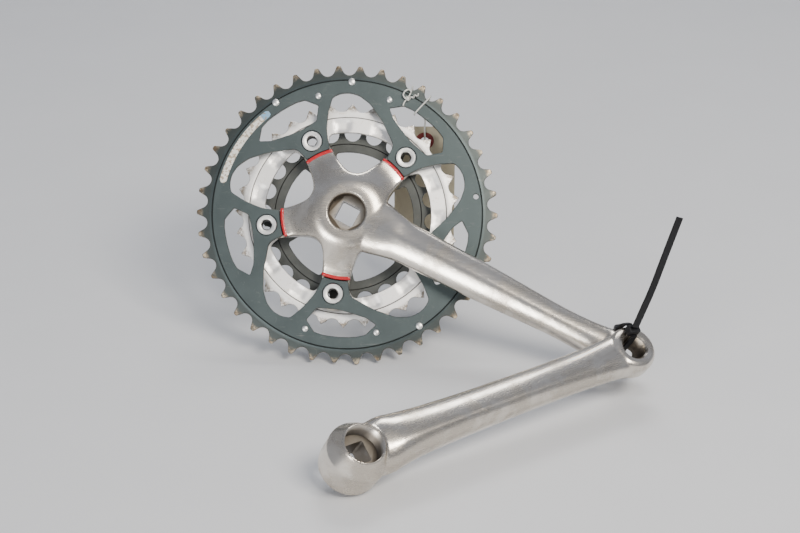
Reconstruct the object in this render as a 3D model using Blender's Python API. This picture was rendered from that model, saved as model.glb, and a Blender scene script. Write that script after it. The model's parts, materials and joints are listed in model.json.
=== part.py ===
"""Bicycle crankset: a triple-chainring right crank with its loose left arm tied to it.

Metres, +Z up.  The world origin is on the bottom-bracket axis, in the middle plane of the
outer chainring.  Each crank is modelled in its own frame (X along the arm or to the right,
Y across, Z outboard) and posed by an empty.
"""

import math

import bmesh
import bpy
from mathutils import Euler, Matrix, Vector
from mathutils.geometry import delaunay_2d_cdt

MM = 0.001
GAP = 0.3

# Chain and bolt-circle standards.
CHAIN_PITCH = 12.7
ROLLER_SEAT_R = 3.97
BOLT_CIRCLE_R = 47.0
INNER_BOLT_CIRCLE_R = 29.0
BOLT_COUNT = 5
FIRST_BOLT_DEG = 44.0
BOLT_STEP_DEG = 360.0 / BOLT_COUNT

# Pose of the right crank and of the arm that lies beside it.
LEAN_DEG = 31.0
ARM_DEG = -28.0
ARM_LENGTH = 175.0
LEFT_EYE_FACE = Vector((158.7, -84.6, -40.9))
LEFT_ROLL_DEG = 36.0
LEFT_PITCH_DEG = 0.8
LEFT_HEADING_DEG = 34.8

# Chainrings: teeth, angle of the first tip, tip height over the pitch circle, half thickness, plane.
OUTER_TEETH, OUTER_PHASE, OUTER_TIP = 42, 7.86, 2.4
MIDDLE_TEETH, MIDDLE_PHASE, MIDDLE_TIP = 32, 8.9, 1.6
INNER_TEETH, INNER_PHASE, INNER_TIP = 24, 4.4, 2.0
OUTER_HALF, MIDDLE_HALF, INNER_HALF = 1.5, 1.4, 1.0
TOOTH_HALF = 1.0
RIM_R = 78.6
MIDDLE_Z, INNER_Z = -7.9, -15.8
BOLT_HOLE_R = 5.05
HEAD_SEAT_R = 6.2
HEAD_SEAT_DEPTH = 1.4

# Spider and arm.
TAB_BOTTOM, TAB_TOP = -6.2, -1.8
BOSS_INBOARD = -17.0
BOSS_OUTBOARD = 12.0
BOSS_R = 16.5
PULLER_R, PULLER_FLOOR = 11.0, 0.5
MOUTH_RIM_R = 12.6
TAPER_INBOARD, TAPER_OUTBOARD = 12.9, 11.6
POST_R, POST_BOTTOM = 6.4, -14.5
POST_HOLE_R, POST_HOLE_TOP = 4.3, -7.0
EYE_R, EYE_HOLE_R = 13.5, 7.15
RIGHT_EYE_IN, RIGHT_EYE_OUT = 16.0, 30.0
LEFT_BOSS_IN, LEFT_BOSS_R = -15.5, 17.0
LEFT_CONE_FOOT, LEFT_RIM_R = 2.0, 11.6
LEFT_EYE_IN, LEFT_EYE_OUT = 4.0, 18.0

# Tie, wire and tag.
STRAP_WIDTH, STRAP_THICK = 4.6, 1.2
WIRE_R = 0.5
TAG_HOLE = Vector((45.0, 40.0, 29.4))
TAG_WIDTH, TAG_ABOVE, TAG_BELOW, TAG_THICK = 36.0, 9.0, 69.0, 0.6


def clear_scene():
    for old in list(bpy.data.objects):
        bpy.data.objects.remove(old, do_unlink=True)


def material(name, color, metallic, roughness):
    mat = bpy.data.materials.new(name)
    mat.use_nodes = True
    shader = mat.node_tree.nodes["Principled BSDF"]
    shader.inputs["Base Color"].default_value = (*color, 1.0)
    shader.inputs["Metallic"].default_value = metallic
    shader.inputs["Roughness"].default_value = roughness
    return mat


def polar(radius, degrees, z=0.0):
    angle = math.radians(degrees)
    return Vector((radius * math.cos(angle), radius * math.sin(angle), z))


def bolt_angles():
    return [FIRST_BOLT_DEG + BOLT_STEP_DEG * i for i in range(BOLT_COUNT)]


def finish_mesh(name, bm, mat, parent=None, smooth=True):
    """Turn a millimetre bmesh into a named object."""
    bmesh.ops.scale(bm, vec=(MM, MM, MM), verts=bm.verts)
    bmesh.ops.recalc_face_normals(bm, faces=bm.faces)
    mesh = bpy.data.meshes.new(name)
    bm.to_mesh(mesh)
    bm.free()
    obj = bpy.data.objects.new(name, mesh)
    bpy.context.scene.collection.objects.link(obj)
    obj.parent = parent
    if mat is not None:
        mesh.materials.append(mat)
    if smooth:
        mesh.shade_smooth()
        mesh.set_sharp_from_angle(angle=math.radians(35))
    return obj


def empty(name, location_mm, rotation):
    obj = bpy.data.objects.new(name, None)
    obj.empty_display_size = 0.02
    obj.location = Vector(location_mm) * MM
    obj.rotation_euler = rotation
    bpy.context.scene.collection.objects.link(obj)
    return obj


def boolean(obj, other, operation):
    """Apply other to obj and keep it only as a hidden wire cutter."""
    other.hide_render = True
    other.display_type = "WIRE"
    mod = obj.modifiers.new(operation.lower(), "BOOLEAN")
    mod.operation = operation
    mod.solver = "EXACT"
    mod.object = other
    bpy.context.view_layer.update()
    graph = bpy.context.evaluated_depsgraph_get()
    result = bpy.data.meshes.new_from_object(obj.evaluated_get(graph))
    obj.modifiers.clear()
    old = obj.data
    obj.data = result
    result.name = obj.name
    bpy.data.meshes.remove(old)
    bpy.data.objects.remove(other, do_unlink=True)


# Outlines


def rounded(corners, radius, steps):
    """Replace each corner of a closed outline with a short curve."""
    points = []
    count = len(corners)
    for i, corner in enumerate(corners):
        before = corners[i - 1] - corner
        after = corners[(i + 1) % count] - corner
        cut = min(radius, before.length * 0.45, after.length * 0.45)
        start = corner + before.normalized() * cut
        end = corner + after.normalized() * cut
        for k in range(steps + 1):
            t = k / steps
            points.append(start * (1 - t) ** 2 + corner * 2 * t * (1 - t) + end * t**2)
    return points


def circle(radius, centre=Vector((0, 0, 0)), steps=16):
    return [centre + polar(radius, 360.0 * i / steps) for i in range(steps)]


def tooth_outline(teeth, phase, tip_height, seat_steps=4):
    """Sprocket outline: roller seats on the pitch circle with a tooth tip between each pair."""
    pitch_r = CHAIN_PITCH / (2 * math.sin(math.pi / teeth))
    step = 360.0 / teeth
    points = []
    for i in range(teeth):
        tip = phase + step * i
        half_tip = math.degrees(0.7 / pitch_r)
        points.append(polar(pitch_r + tip_height, tip - half_tip))
        points.append(polar(pitch_r + tip_height, tip + half_tip))
        seat = tip + step / 2
        centre = polar(pitch_r, seat)
        for k in range(seat_steps + 1):
            turn = 62 - 124 * k / seat_steps
            points.append(centre + polar(ROLLER_SEAT_R, seat + 180 + turn))
    return points


def outer_ring_inner_outline():
    """Open windows between the five tabs, and the tab ends next to the spider."""
    corners = []
    for bolt in bolt_angles():
        for angle in (-11, -4, 4, 11):
            corners.append(polar(39.0, bolt + angle))
        flank = ((42.5, 11.2), (48, 12.2), (57.5, 25.5), (65.5, 34.5), (69.4, 40.5), (70.6, 45))
        for radius, angle in flank:
            corners.append(polar(radius, bolt + angle))
        back = ((70.3, 49.5), (68.4, 53.4), (65.0, 54.6), (60, 56.7), (50, 60), (43, 60.8))
        for radius, angle in back:
            corners.append(polar(radius, bolt + angle))
    return rounded(corners, 1.5, 1)


def outer_ring_small_windows():
    windows = []
    for bolt in bolt_angles():
        corners = [(65.5, -11), (70.8, -5.5), (71.3, 2.5), (71.3, 10.5), (70.8, 18.5)]
        corners += [(66.3, 24.5), (61.3, 20.3), (58, 13.5), (55.6, 2), (57, -7.5)]
        windows.append(rounded([polar(r, bolt + a) for r, a in corners], 1.1, 2))
    return windows


def tabbed_outline(edge_r, tab_r, half_deg, arc_steps):
    """Inner edge of a ring with a tab at each bolt."""
    corners = []
    for bolt in bolt_angles():
        for angle in (-half_deg * 0.7, 0, half_deg * 0.7):
            corners.append(polar(tab_r, bolt + angle))
        for k in range(arc_steps + 1):
            angle = half_deg + (BOLT_STEP_DEG - 2 * half_deg) * k / arc_steps
            corners.append(polar(edge_r, bolt + angle))
    return rounded(corners, 2.0, 1)


def inside(spot, loops):
    """True when spot lies inside an odd number of the closed loops."""
    odd = False
    for loop in loops:
        for i, end in enumerate(loop):
            start = loop[i - 1]
            if (start.y > spot.y) != (end.y > spot.y):
                cross = start.x + (spot.y - start.y) * (end.x - start.x) / (end.y - start.y)
                if spot.x < cross:
                    odd = not odd
    return odd


def plate(loops, z_low, z_high, dividers=()):
    """Closed plate: the first loop is its outside, the rest are holes; dividers only add edges."""
    spots, edges = [], []
    for loop in [*loops, *dividers]:
        first = len(spots)
        spots += [p.to_2d() for p in loop]
        edges += [(first + i, first + (i + 1) % len(loop)) for i in range(len(loop))]
    flat, _, triangles, *_ = delaunay_2d_cdt(spots, edges, [], 0, 1e-6)
    bm = bmesh.new()
    low = [bm.verts.new((p.x, p.y, z_low)) for p in flat]
    high = [bm.verts.new((p.x, p.y, z_high)) for p in flat]
    border = {}
    for triangle in triangles:
        centre = sum((flat[i] for i in triangle), Vector((0, 0))) / 3
        if not inside(centre, loops):
            continue
        bm.faces.new([high[i] for i in triangle])
        bm.faces.new([low[i] for i in reversed(triangle)])
        for i, j in zip(triangle, triangle[1:] + triangle[:1]):
            if (j, i) in border:
                del border[(j, i)]
            else:
                border[(i, j)] = True
    for i, j in border:
        bm.faces.new((low[i], low[j], high[j], high[i]))
    return bm


def lathe(profile, steps, centre=Vector((0, 0, 0))):
    """Closed solid of revolution about Z from a closed (radius, z) profile."""
    bm = bmesh.new()
    rings = []
    for i in range(steps):
        turn = 360.0 * i / steps
        rings.append([bm.verts.new(centre + polar(r, turn, z)) for r, z in profile])
    for i in range(steps):
        one, two = rings[i], rings[(i + 1) % steps]
        for k in range(len(profile)):
            nxt = (k + 1) % len(profile)
            bm.faces.new((one[k], two[k], two[nxt], one[nxt]))
    return bm


def turned(profile, steps, centre=Vector((0, 0, 0))):
    """Solid of revolution from (radius, z) pairs, bottom to top, closed by flat ends."""
    sections = []
    for radius, z in profile:
        turns = [360.0 * (i + 0.37) / steps for i in range(steps)]
        sections.append([centre + polar(radius, turn, z) for turn in turns])
    return loft(sections)


def eye_profile(z_low, z_high, bevel=1.0):
    return [(EYE_R - bevel, z_low), (EYE_R, z_low + bevel), (EYE_R, z_high - bevel), (EYE_R - bevel, z_high)]


def cylinder(radius, z_low, z_high, steps=32, centre=Vector((0, 0, 0))):
    bm = bmesh.new()
    middle = centre + Vector((0, 0, (z_low + z_high) / 2))
    place = Matrix.Translation(middle)
    bmesh.ops.create_cone(
        bm, cap_ends=True, segments=steps, radius1=radius, radius2=radius, depth=z_high - z_low, matrix=place
    )
    return bm


def loft(sections):
    """Closed solid through a list of equal-length loops."""
    bm = bmesh.new()
    rows = [[bm.verts.new(p) for p in section] for section in sections]
    count = len(rows[0])
    for one, two in zip(rows, rows[1:]):
        for i in range(count):
            nxt = (i + 1) % count
            bm.faces.new((one[i], one[nxt], two[nxt], two[i]))
    bm.faces.new(reversed(rows[0]))
    bm.faces.new(rows[-1])
    return bm


# Chainrings


def outer_chainring(mat, parent):
    teeth = tooth_outline(OUTER_TEETH, OUTER_PHASE, OUTER_TIP)
    rim = circle(RIM_R, steps=60)
    holes = [circle(BOLT_HOLE_R, polar(BOLT_CIRCLE_R, a)) for a in bolt_angles()]
    rivets = [circle(1.4, polar(r, a), 8) for r, a in RIVETS]
    rivets.append(circle(1.6, polar(75.0, 7.6), 12))
    openings = [outer_ring_inner_outline(), *outer_ring_small_windows(), *holes, *rivets]
    bm = plate([teeth, *openings], -OUTER_HALF, OUTER_HALF, [rim])
    for vert in bm.verts:
        if vert.co.xy.length > RIM_R + 0.5:
            vert.co.z *= TOOTH_HALF / OUTER_HALF
    ring = finish_mesh("outer_chainring", bm, mat, parent)
    for angle in bolt_angles():
        floor = OUTER_HALF - HEAD_SEAT_DEPTH
        seat = cylinder(HEAD_SEAT_R, floor, OUTER_HALF + 2, 24, polar(BOLT_CIRCLE_R, angle))
        boolean(ring, finish_mesh("seat_cutter", seat, None, parent), "DIFFERENCE")
    return ring


def middle_chainring(mat, parent):
    teeth = tooth_outline(MIDDLE_TEETH, MIDDLE_PHASE, MIDDLE_TIP)
    holes = [circle(BOLT_HOLE_R, polar(BOLT_CIRCLE_R, a)) for a in bolt_angles()]
    edge = tabbed_outline(48.5, 40.6, 13.5, 4)
    bm = plate([teeth, edge, *holes], MIDDLE_Z - MIDDLE_HALF, MIDDLE_Z + MIDDLE_HALF)
    return finish_mesh("middle_chainring", bm, mat, parent)


def inner_chainring(mat, parent):
    teeth = tooth_outline(INNER_TEETH, INNER_PHASE, INNER_TIP)
    holes = [circle(POST_HOLE_R, polar(INNER_BOLT_CIRCLE_R, a), 16) for a in bolt_angles()]
    edge = tabbed_outline(38.2, 22.6, 15.5, 4)
    bm = plate([teeth, edge, *holes], INNER_Z - INNER_HALF, INNER_Z + INNER_HALF)
    return finish_mesh("inner_chainring", bm, mat, parent)


# Fasteners

# Rivets in the outer ring: three at the groove and four in the web, as radius and angle.
GROOVE_RIVET_R, WEB_RIVET_R = 77.0, 70.7
RIVETS = [(GROOVE_RIVET_R, angle) for angle in (88.2, 122.7, 302.6)]
RIVETS += [(WEB_RIVET_R, angle) for angle in (103.9, 69.9, 250.1, 283.7)]


def chainring_bolt(number, angle, mat, parent):
    low = MIDDLE_Z
    seat = OUTER_HALF - HEAD_SEAT_DEPTH + GAP
    profile = [(2.8, low), (3.7, low), (3.7, seat), (5.8, seat), (5.8, 1.6), (5.3, 2.0), (3.4, 2.0), (2.8, 1.4)]
    bm = lathe(profile, 14, polar(BOLT_CIRCLE_R, angle))
    return finish_mesh(f"chainring_bolt_{number}", bm, mat, parent)


def chainring_nut(number, angle, mat, parent):
    flange_top = MIDDLE_Z - MIDDLE_HALF - GAP
    bottom = flange_top - 1.6
    top = OUTER_HALF - HEAD_SEAT_DEPTH - 0.1
    profile = [(4.0, bottom), (5.4, bottom), (5.8, bottom + 0.4), (5.8, flange_top)]
    profile += [(4.75, flange_top), (4.75, top), (4.0, top)]
    bm = lathe(profile, 14, polar(BOLT_CIRCLE_R, angle))
    return finish_mesh(f"chainring_nut_{number}", bm, mat, parent)


def inner_ring_bolt(number, angle, mat, parent):
    seat = INNER_Z - INNER_HALF - GAP
    tip = POST_HOLE_TOP - 1.5
    profile = [(2.2, tip), (2.2, seat - 2.6), (4.8, seat - 2.6), (5.8, seat - 1.4), (5.8, seat)]
    profile += [(POST_HOLE_R - GAP, seat), (POST_HOLE_R - GAP, tip)]
    bm = lathe(profile, 12, polar(INNER_BOLT_CIRCLE_R, angle))
    return finish_mesh(f"inner_ring_bolt_{number}", bm, mat, parent)


def ramp_rivet(number, place, mat, parent):
    radius, angle = place
    head_r = 2.1 if number <= 3 else 1.8
    base = OUTER_HALF + GAP
    profile = [(1.0, -OUTER_HALF), (1.0, base), (head_r, base)]
    profile += [(head_r, base + 0.3), (head_r * 0.6, base + 0.8)]
    bm = turned(profile, 8, polar(radius, angle))
    return finish_mesh(f"ramp_rivet_{number}", bm, mat, parent)


# Cranks


def arm_section(station, half_width, z_low, z_high, steps=16):
    """Rounded cross-section of an arm, fuller near its outer face."""
    points = []
    middle = (z_low + z_high) / 2
    for i in range(steps):
        angle = 2 * math.pi * i / steps
        across = math.copysign(abs(math.cos(angle)) ** 0.62, math.cos(angle))
        height = math.copysign(abs(math.sin(angle)) ** 0.72, math.sin(angle))
        points.append(Vector((station, half_width * across, middle + (z_high - z_low) / 2 * height)))
    return points


def arm_body(stations):
    return loft([arm_section(*station) for station in stations])


def star_outline():
    corners = []
    for bolt in bolt_angles():
        for radius, angle in ((38.3, -12.6), (38.3, -6), (38.3, 0), (38.3, 6), (38.3, 12.6)):
            corners.append(polar(radius, bolt + angle))
        for radius, angle in ((31, 16.8), (26.6, 21.8), (23.9, 28.5), (23.2, 36), (23.9, 43.5)):
            corners.append(polar(radius, bolt + angle))
        for radius, angle in ((26.6, 50.2), (31, 55.2)):
            corners.append(polar(radius, bolt + angle))
    return corners


def star_height(radius):
    rise = min(max((38.3 - radius) / 24.0, 0.0), 1.0)
    return 3.0 + (BOSS_OUTBOARD - 3.0) * rise * rise * (3 - 2 * rise)


def star_body():
    """Domed five-pointed star that joins the spider tabs to the hub."""
    edge = star_outline()
    sections = [[Vector((p.x, p.y, TAB_BOTTOM)) for p in edge]]
    for inward, drop in ((1.0, 1.6), (0.96, 0.0), (0.8, 0.0), (0.6, 0.0), (0.3, 0.0), (0.0, 0.0)):
        section = []
        for p in edge:
            radius = MOUTH_RIM_R + (p.length - MOUTH_RIM_R) * inward
            spot = p.normalized() * radius
            section.append(Vector((spot.x, spot.y, star_height(radius) - drop)))
        sections.append(section)
    return loft(sections)


def spider_tab(angle):
    """Flat tab under the outer ring, rounded around its bolt."""
    outline = [Vector((15, -8.2, 0)), Vector((46, -8.2, 0))]
    for k in range(7):
        turn = -78 + 26 * k
        outline.append(Vector((BOLT_CIRCLE_R - 0.3, 0, 0)) + polar(8.2, turn))
    outline += [Vector((46, 8.2, 0)), Vector((15, 8.2, 0))]
    bm = plate([outline], TAB_BOTTOM, TAB_TOP)
    bmesh.ops.rotate(bm, verts=bm.verts, matrix=Matrix.Rotation(math.radians(angle), 3, "Z"))
    return bm


def square_taper(z_low, z_high, angle):
    sections = []
    for z, side in ((z_low, TAPER_INBOARD), (z_high, TAPER_OUTBOARD)):
        half = side / math.sqrt(2)
        sections.append([polar(half, angle + 45 + 90 * k, z) for k in range(4)])
    return loft(sections)


def right_crank_arm(mat, parent):
    body = finish_mesh("right_crank_arm", star_body(), mat, parent)
    joins = [spider_tab(angle) for angle in bolt_angles()]
    for angle in bolt_angles():
        joins.append(cylinder(POST_R, POST_BOTTOM, TAB_TOP - 2, 20, polar(INNER_BOLT_CIRCLE_R, angle)))
    joins.append(cylinder(BOSS_R, BOSS_INBOARD, 2.0, 40))
    arm = arm_body(RIGHT_STATIONS)
    turn = Matrix.Rotation(math.radians(ARM_DEG), 3, "Z")
    bmesh.ops.rotate(arm, verts=arm.verts, matrix=turn)
    joins.append(arm)
    eye = polar(ARM_LENGTH, ARM_DEG)
    joins.append(turned(eye_profile(RIGHT_EYE_IN, RIGHT_EYE_OUT), 32, eye))
    for bm in joins:
        boolean(body, finish_mesh("join", bm, None, parent), "UNION")
    cuts = [cylinder(PULLER_R, PULLER_FLOOR, 40, 32)]
    cuts.append(square_taper(BOSS_INBOARD - 0.01, PULLER_FLOOR + 0.01, ARM_DEG))
    cuts.append(cylinder(EYE_HOLE_R, 5, 50, 28, eye))
    for angle in bolt_angles():
        cuts.append(cylinder(BOLT_HOLE_R, -10, TAB_TOP + 0.01, 20, polar(BOLT_CIRCLE_R, angle)))
        post = polar(INNER_BOLT_CIRCLE_R, angle)
        cuts.append(cylinder(POST_HOLE_R, -20, POST_HOLE_TOP, 16, post))
    for bm in cuts:
        boolean(body, finish_mesh("cut", bm, None, parent), "DIFFERENCE")
    return body


# Arm stations: distance from the bottom-bracket axis, half width, inboard and outboard surface.
RIGHT_STATIONS = [
    (6, 15.5, -3.0, 11.8),
    (18, 16.0, 0.5, 12.4),
    (28, 13.6, 2.0, 13.4),
    (38, 11.8, 2.6, 14.4),
    (60, 11.3, 4.2, 17.2),
    (85, 10.8, 6.8, 20.2),
    (110, 9.7, 9.6, 23.0),
    (135, 8.7, 12.2, 25.7),
    (155, 9.3, 14.3, 28.0),
    (166, 10.8, 15.6, 29.3),
    (172, 11.2, 16.0, 29.8),
]
LEFT_STATIONS = [
    (6, 13.5, -13.0, 9.0),
    (16, 14.2, -10.5, 11.8),
    (24, 13.2, -8.5, 13.0),
    (36, 12.0, -6.6, 13.6),
    (60, 11.0, -4.6, 14.4),
    (85, 10.5, -2.6, 15.4),
    (110, 10.2, -0.8, 16.4),
    (135, 10.3, 1.2, 17.0),
    (155, 11.0, 2.8, 17.5),
    (166, 11.8, 3.6, 17.8),
    (172, 11.8, 4.0, 17.9),
]


def left_crank_arm(mat, parent):
    offset = Vector((-ARM_LENGTH, 0, -LEFT_EYE_OUT))
    profile = [(LEFT_BOSS_R - 1, LEFT_BOSS_IN), (LEFT_BOSS_R, LEFT_BOSS_IN + 1)]
    profile += [(LEFT_BOSS_R, LEFT_CONE_FOOT), (LEFT_RIM_R, BOSS_OUTBOARD)]
    hub = turned(profile, 40)
    joins = [arm_body(LEFT_STATIONS)]
    eye = Vector((ARM_LENGTH, 0, 0))
    joins.append(turned(eye_profile(LEFT_EYE_IN, LEFT_EYE_OUT), 32, eye))
    cuts = [cylinder(PULLER_R, PULLER_FLOOR, 40, 32)]
    cuts.append(square_taper(LEFT_BOSS_IN - 0.01, PULLER_FLOOR + 0.01, 0))
    cuts.append(cylinder(EYE_HOLE_R, -5, 40, 28, eye))
    for bm in [hub, *joins, *cuts]:
        bmesh.ops.translate(bm, verts=bm.verts, vec=offset)
    body = finish_mesh("left_crank_arm", hub, mat, parent)
    for bm in joins:
        boolean(body, finish_mesh("join", bm, None, parent), "UNION")
    for bm in cuts:
        boolean(body, finish_mesh("cut", bm, None, parent), "DIFFERENCE")
    return body


# Zip tie


def ribbon(points, width_dir, width, thickness):
    """Flat strap along a line of points."""
    sections = []
    for i, point in enumerate(points):
        ahead = points[min(i + 1, len(points) - 1)]
        behind = points[max(i - 1, 0)]
        along = (ahead - behind).normalized()
        flat = (width_dir - along * width_dir.dot(along)).normalized()
        up = along.cross(flat)
        half_w, half_t = flat * width / 2, up * thickness / 2
        sections.append([point - half_w - half_t, point + half_w - half_t])
        sections[-1] += [point + half_w + half_t, point - half_w + half_t]
    return loft(sections)


def smooth_path(points, steps):
    """Catmull-Rom curve through hand-placed points."""
    padded = [points[0]] + points + [points[-1]]
    path = []
    for i in range(1, len(padded) - 2):
        a, b, c, d = padded[i - 1 : i + 3]
        for k in range(steps):
            t = k / steps
            spot = b * 2 + (c - a) * t + (a * 2 - b * 5 + c * 4 - d) * t**2
            path.append((spot + (b * 3 - a - c * 3 + d) * t**3) / 2)
    path.append(points[-1])
    return path


def eye_frames():
    """Face centre, outward normal and upward direction of the left and the right pedal eye."""
    left_turn = left_rotation().to_matrix()
    right_turn = right_rotation().to_matrix()
    up = Vector((-0.1, 0.43, 0.88))
    frames = []
    right_face = right_turn @ polar(ARM_LENGTH, ARM_DEG, RIGHT_EYE_OUT)
    for face, normal in ((LEFT_EYE_FACE, left_turn.col[2]), (right_face, right_turn.col[2])):
        rise = (up - normal * up.dot(normal)).normalized()
        frames.append((face, normal.copy(), rise))
    return frames


def zip_tie(mat):
    (left, left_out, left_up), (right, right_out, right_up) = eye_frames()
    head = left + left_up * 8.2 + left_out * 3.6
    across = left_out.cross(left_up)
    route = [
        left + left_up * 5.0 + left_out * 2.6,
        left + left_up * 4.7 + left_out * 0.6,
        left + left_up * 4.4 - left_out * 4.0,
        left + left_up * 4.2 - left_out * 13.0,
        right + right_up * 3.8 + right_out * 1.0,
        right + right_up * 4.2 - right_out * 10.0,
        right + right_up * 6.4 - right_out * 16.4,
        right + right_up * 13.0 - right_out * 16.4,
        right + right_up * 16.2 - right_out * 10.0,
        right + right_up * 16.2 - right_out * 0.0,
        left + left_up * 15.8 - left_out * 9.0,
        left + left_up * 14.8 - left_out * 1.4,
        left + left_up * 12.2 + left_out * 2.5,
    ]
    strap = ribbon(smooth_path(route, 4), across, STRAP_WIDTH, STRAP_THICK)
    finish_mesh("zip_tie_loop", strap, mat)
    start = head + left_out * 3.4
    tail = [start + Vector(step) for step in ((0, 0, 0), (4.2, 0.6, 11.6), (8.8, 3.0, 23.2), (21.4, 9.0, 61.5))]
    tail_bm = ribbon(smooth_path(tail, 4), Vector((1, 0.2, -0.3)), STRAP_WIDTH, STRAP_THICK)
    finish_mesh("zip_tie_tail", tail_bm, mat)
    box = bmesh.new()
    bmesh.ops.create_cube(box, size=1.0)
    bmesh.ops.scale(box, verts=box.verts, vec=(7.0, 5.0, 4.6))
    bmesh.ops.bevel(box, geom=box.edges[:], offset=0.8, segments=1, affect="EDGES")
    turn = Matrix((across, left_up, left_out)).transposed()
    bmesh.ops.rotate(box, verts=box.verts, matrix=turn)
    bmesh.ops.translate(box, verts=box.verts, vec=head)
    finish_mesh("zip_tie_head", box, mat)


# Tag and its wire


def wire_route():
    """Wire in the crank's frame: over two tooth gaps of the outer ring and through the tag."""
    front, back = OUTER_HALF + 0.9, -OUTER_HALF - 0.9
    to_local = right_rotation().to_matrix().transposed()
    hole = to_local @ TAG_HOLE
    ahead = to_local @ Vector((0, -1, 0))
    above = to_local @ Vector((0, 0, 1))
    return [
        Vector((32.1, 62.6, front + 0.8)),
        Vector((34.0, 67.5, front)),
        Vector((36.0, 71.4, front)),
        Vector((37.2, 74.8, 0.0)),
        Vector((37.8, 72.4, back)),
        Vector((41.0, 66.0, back - 5.0)),
        hole + above * 12.5 - ahead * 2.2,
        hole + above * 4.0 - ahead * 2.4,
        hole,
        hole + above * 3.0 + ahead * 2.0,
        hole + above * 10.5 + ahead * 2.2,
        Vector((46.4, 64.4, back - 2.0)),
        Vector((47.4, 67.4, back)),
        Vector((48.2, 68.9, 0.0)),
        Vector((47.0, 67.0, front)),
        Vector((43.0, 62.8, front)),
        Vector((39.6, 59.0, front)),
        Vector((38.6, 57.6, 0.4)),
    ]


def tag_wire(mat, parent):
    curve = bpy.data.curves.new("tag_wire", "CURVE")
    curve.dimensions = "3D"
    curve.bevel_depth = WIRE_R * MM
    curve.bevel_resolution = 1
    curve.use_fill_caps = True
    path = smooth_path(wire_route(), 2)
    spline = curve.splines.new("POLY")
    spline.points.add(len(path) - 1)
    for spot, point in zip(spline.points, path):
        spot.co = (*(point * MM), 1.0)
    curve.materials.append(mat)
    obj = bpy.data.objects.new("tag_wire", curve)
    obj.parent = parent
    bpy.context.scene.collection.objects.link(obj)
    return obj


def tag_card(mat, pivot):
    half = TAG_WIDTH / 2
    corners = [(-half, -TAG_BELOW), (half, -TAG_BELOW), (half, TAG_ABOVE - 9)]
    corners += [(half - 9, TAG_ABOVE), (-half + 9, TAG_ABOVE), (-half, TAG_ABOVE - 9)]
    outline = rounded([Vector((x, y, 0)) for x, y in corners], 0.8, 2)
    bm = plate([outline, circle(2.6, steps=16)], -TAG_THICK / 2, TAG_THICK / 2)
    bmesh.ops.rotate(bm, verts=bm.verts, matrix=Matrix.Rotation(math.radians(90), 3, "X"))
    return finish_mesh("tag_card", bm, mat, pivot)


def tag_eyelet(mat, pivot):
    """Paper reinforcing ring on the front of the card."""
    front = TAG_THICK / 2 + GAP
    profile = [(2.4, front), (5.4, front), (5.4, front + 0.4), (2.4, front + 0.4)]
    bm = lathe(profile, 16)
    bmesh.ops.rotate(bm, verts=bm.verts, matrix=Matrix.Rotation(math.radians(90), 3, "X"))
    return finish_mesh("tag_eyelet", bm, mat, pivot)


def right_rotation():
    return Euler((math.radians(90 - LEAN_DEG), 0, 0))


def left_rotation():
    return Euler((math.radians(LEFT_ROLL_DEG), math.radians(LEFT_PITCH_DEG), math.radians(LEFT_HEADING_DEG)))


def build():
    clear_scene()
    anodised = material("anodised_grey", (0.09, 0.11, 0.11), 0.7, 0.45)
    bright = material("bright_aluminium", (0.75, 0.75, 0.73), 1.0, 0.3)
    dark_steel = material("dark_steel", (0.05, 0.055, 0.06), 0.8, 0.5)
    satin = material("satin_aluminium", (0.62, 0.6, 0.56), 1.0, 0.35)
    steel = material("bright_steel", (0.7, 0.7, 0.68), 1.0, 0.25)
    nylon = material("black_nylon", (0.015, 0.015, 0.017), 0.0, 0.4)
    zinc = material("zinc_wire", (0.55, 0.55, 0.52), 1.0, 0.45)
    card = material("manila_card", (0.48, 0.42, 0.3), 0.0, 0.9)
    fibre = material("red_fibre", (0.2, 0.03, 0.03), 0.0, 0.8)

    crank = empty("crank_axis", (0, 0, 0), right_rotation())
    right_crank_arm(satin, crank)
    outer_chainring(anodised, crank)
    middle_chainring(bright, crank)
    inner_chainring(dark_steel, crank)
    for number, angle in enumerate(bolt_angles(), 1):
        chainring_bolt(number, angle, steel, crank)
        chainring_nut(number, angle, steel, crank)
        inner_ring_bolt(number, angle, steel, crank)
    for number, place in enumerate(RIVETS, 1):
        ramp_rivet(number, place, steel, crank)
    left = empty("left_pedal_eye_axis", LEFT_EYE_FACE, left_rotation())
    left_crank_arm(satin, left)
    zip_tie(nylon)
    tag_wire(zinc, crank)
    pivot = empty("tag_hole_axis", TAG_HOLE, (0, 0, 0))
    tag_card(card, pivot)
    tag_eyelet(fibre, pivot)


build()
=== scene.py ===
"""Looks of the bicycle crankset: fine meshes and worn-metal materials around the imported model."""

import json
import math

import bmesh
import bpy
import numpy as np
from mathutils import Euler, Matrix, Vector
from mathutils.geometry import delaunay_2d_cdt


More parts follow.
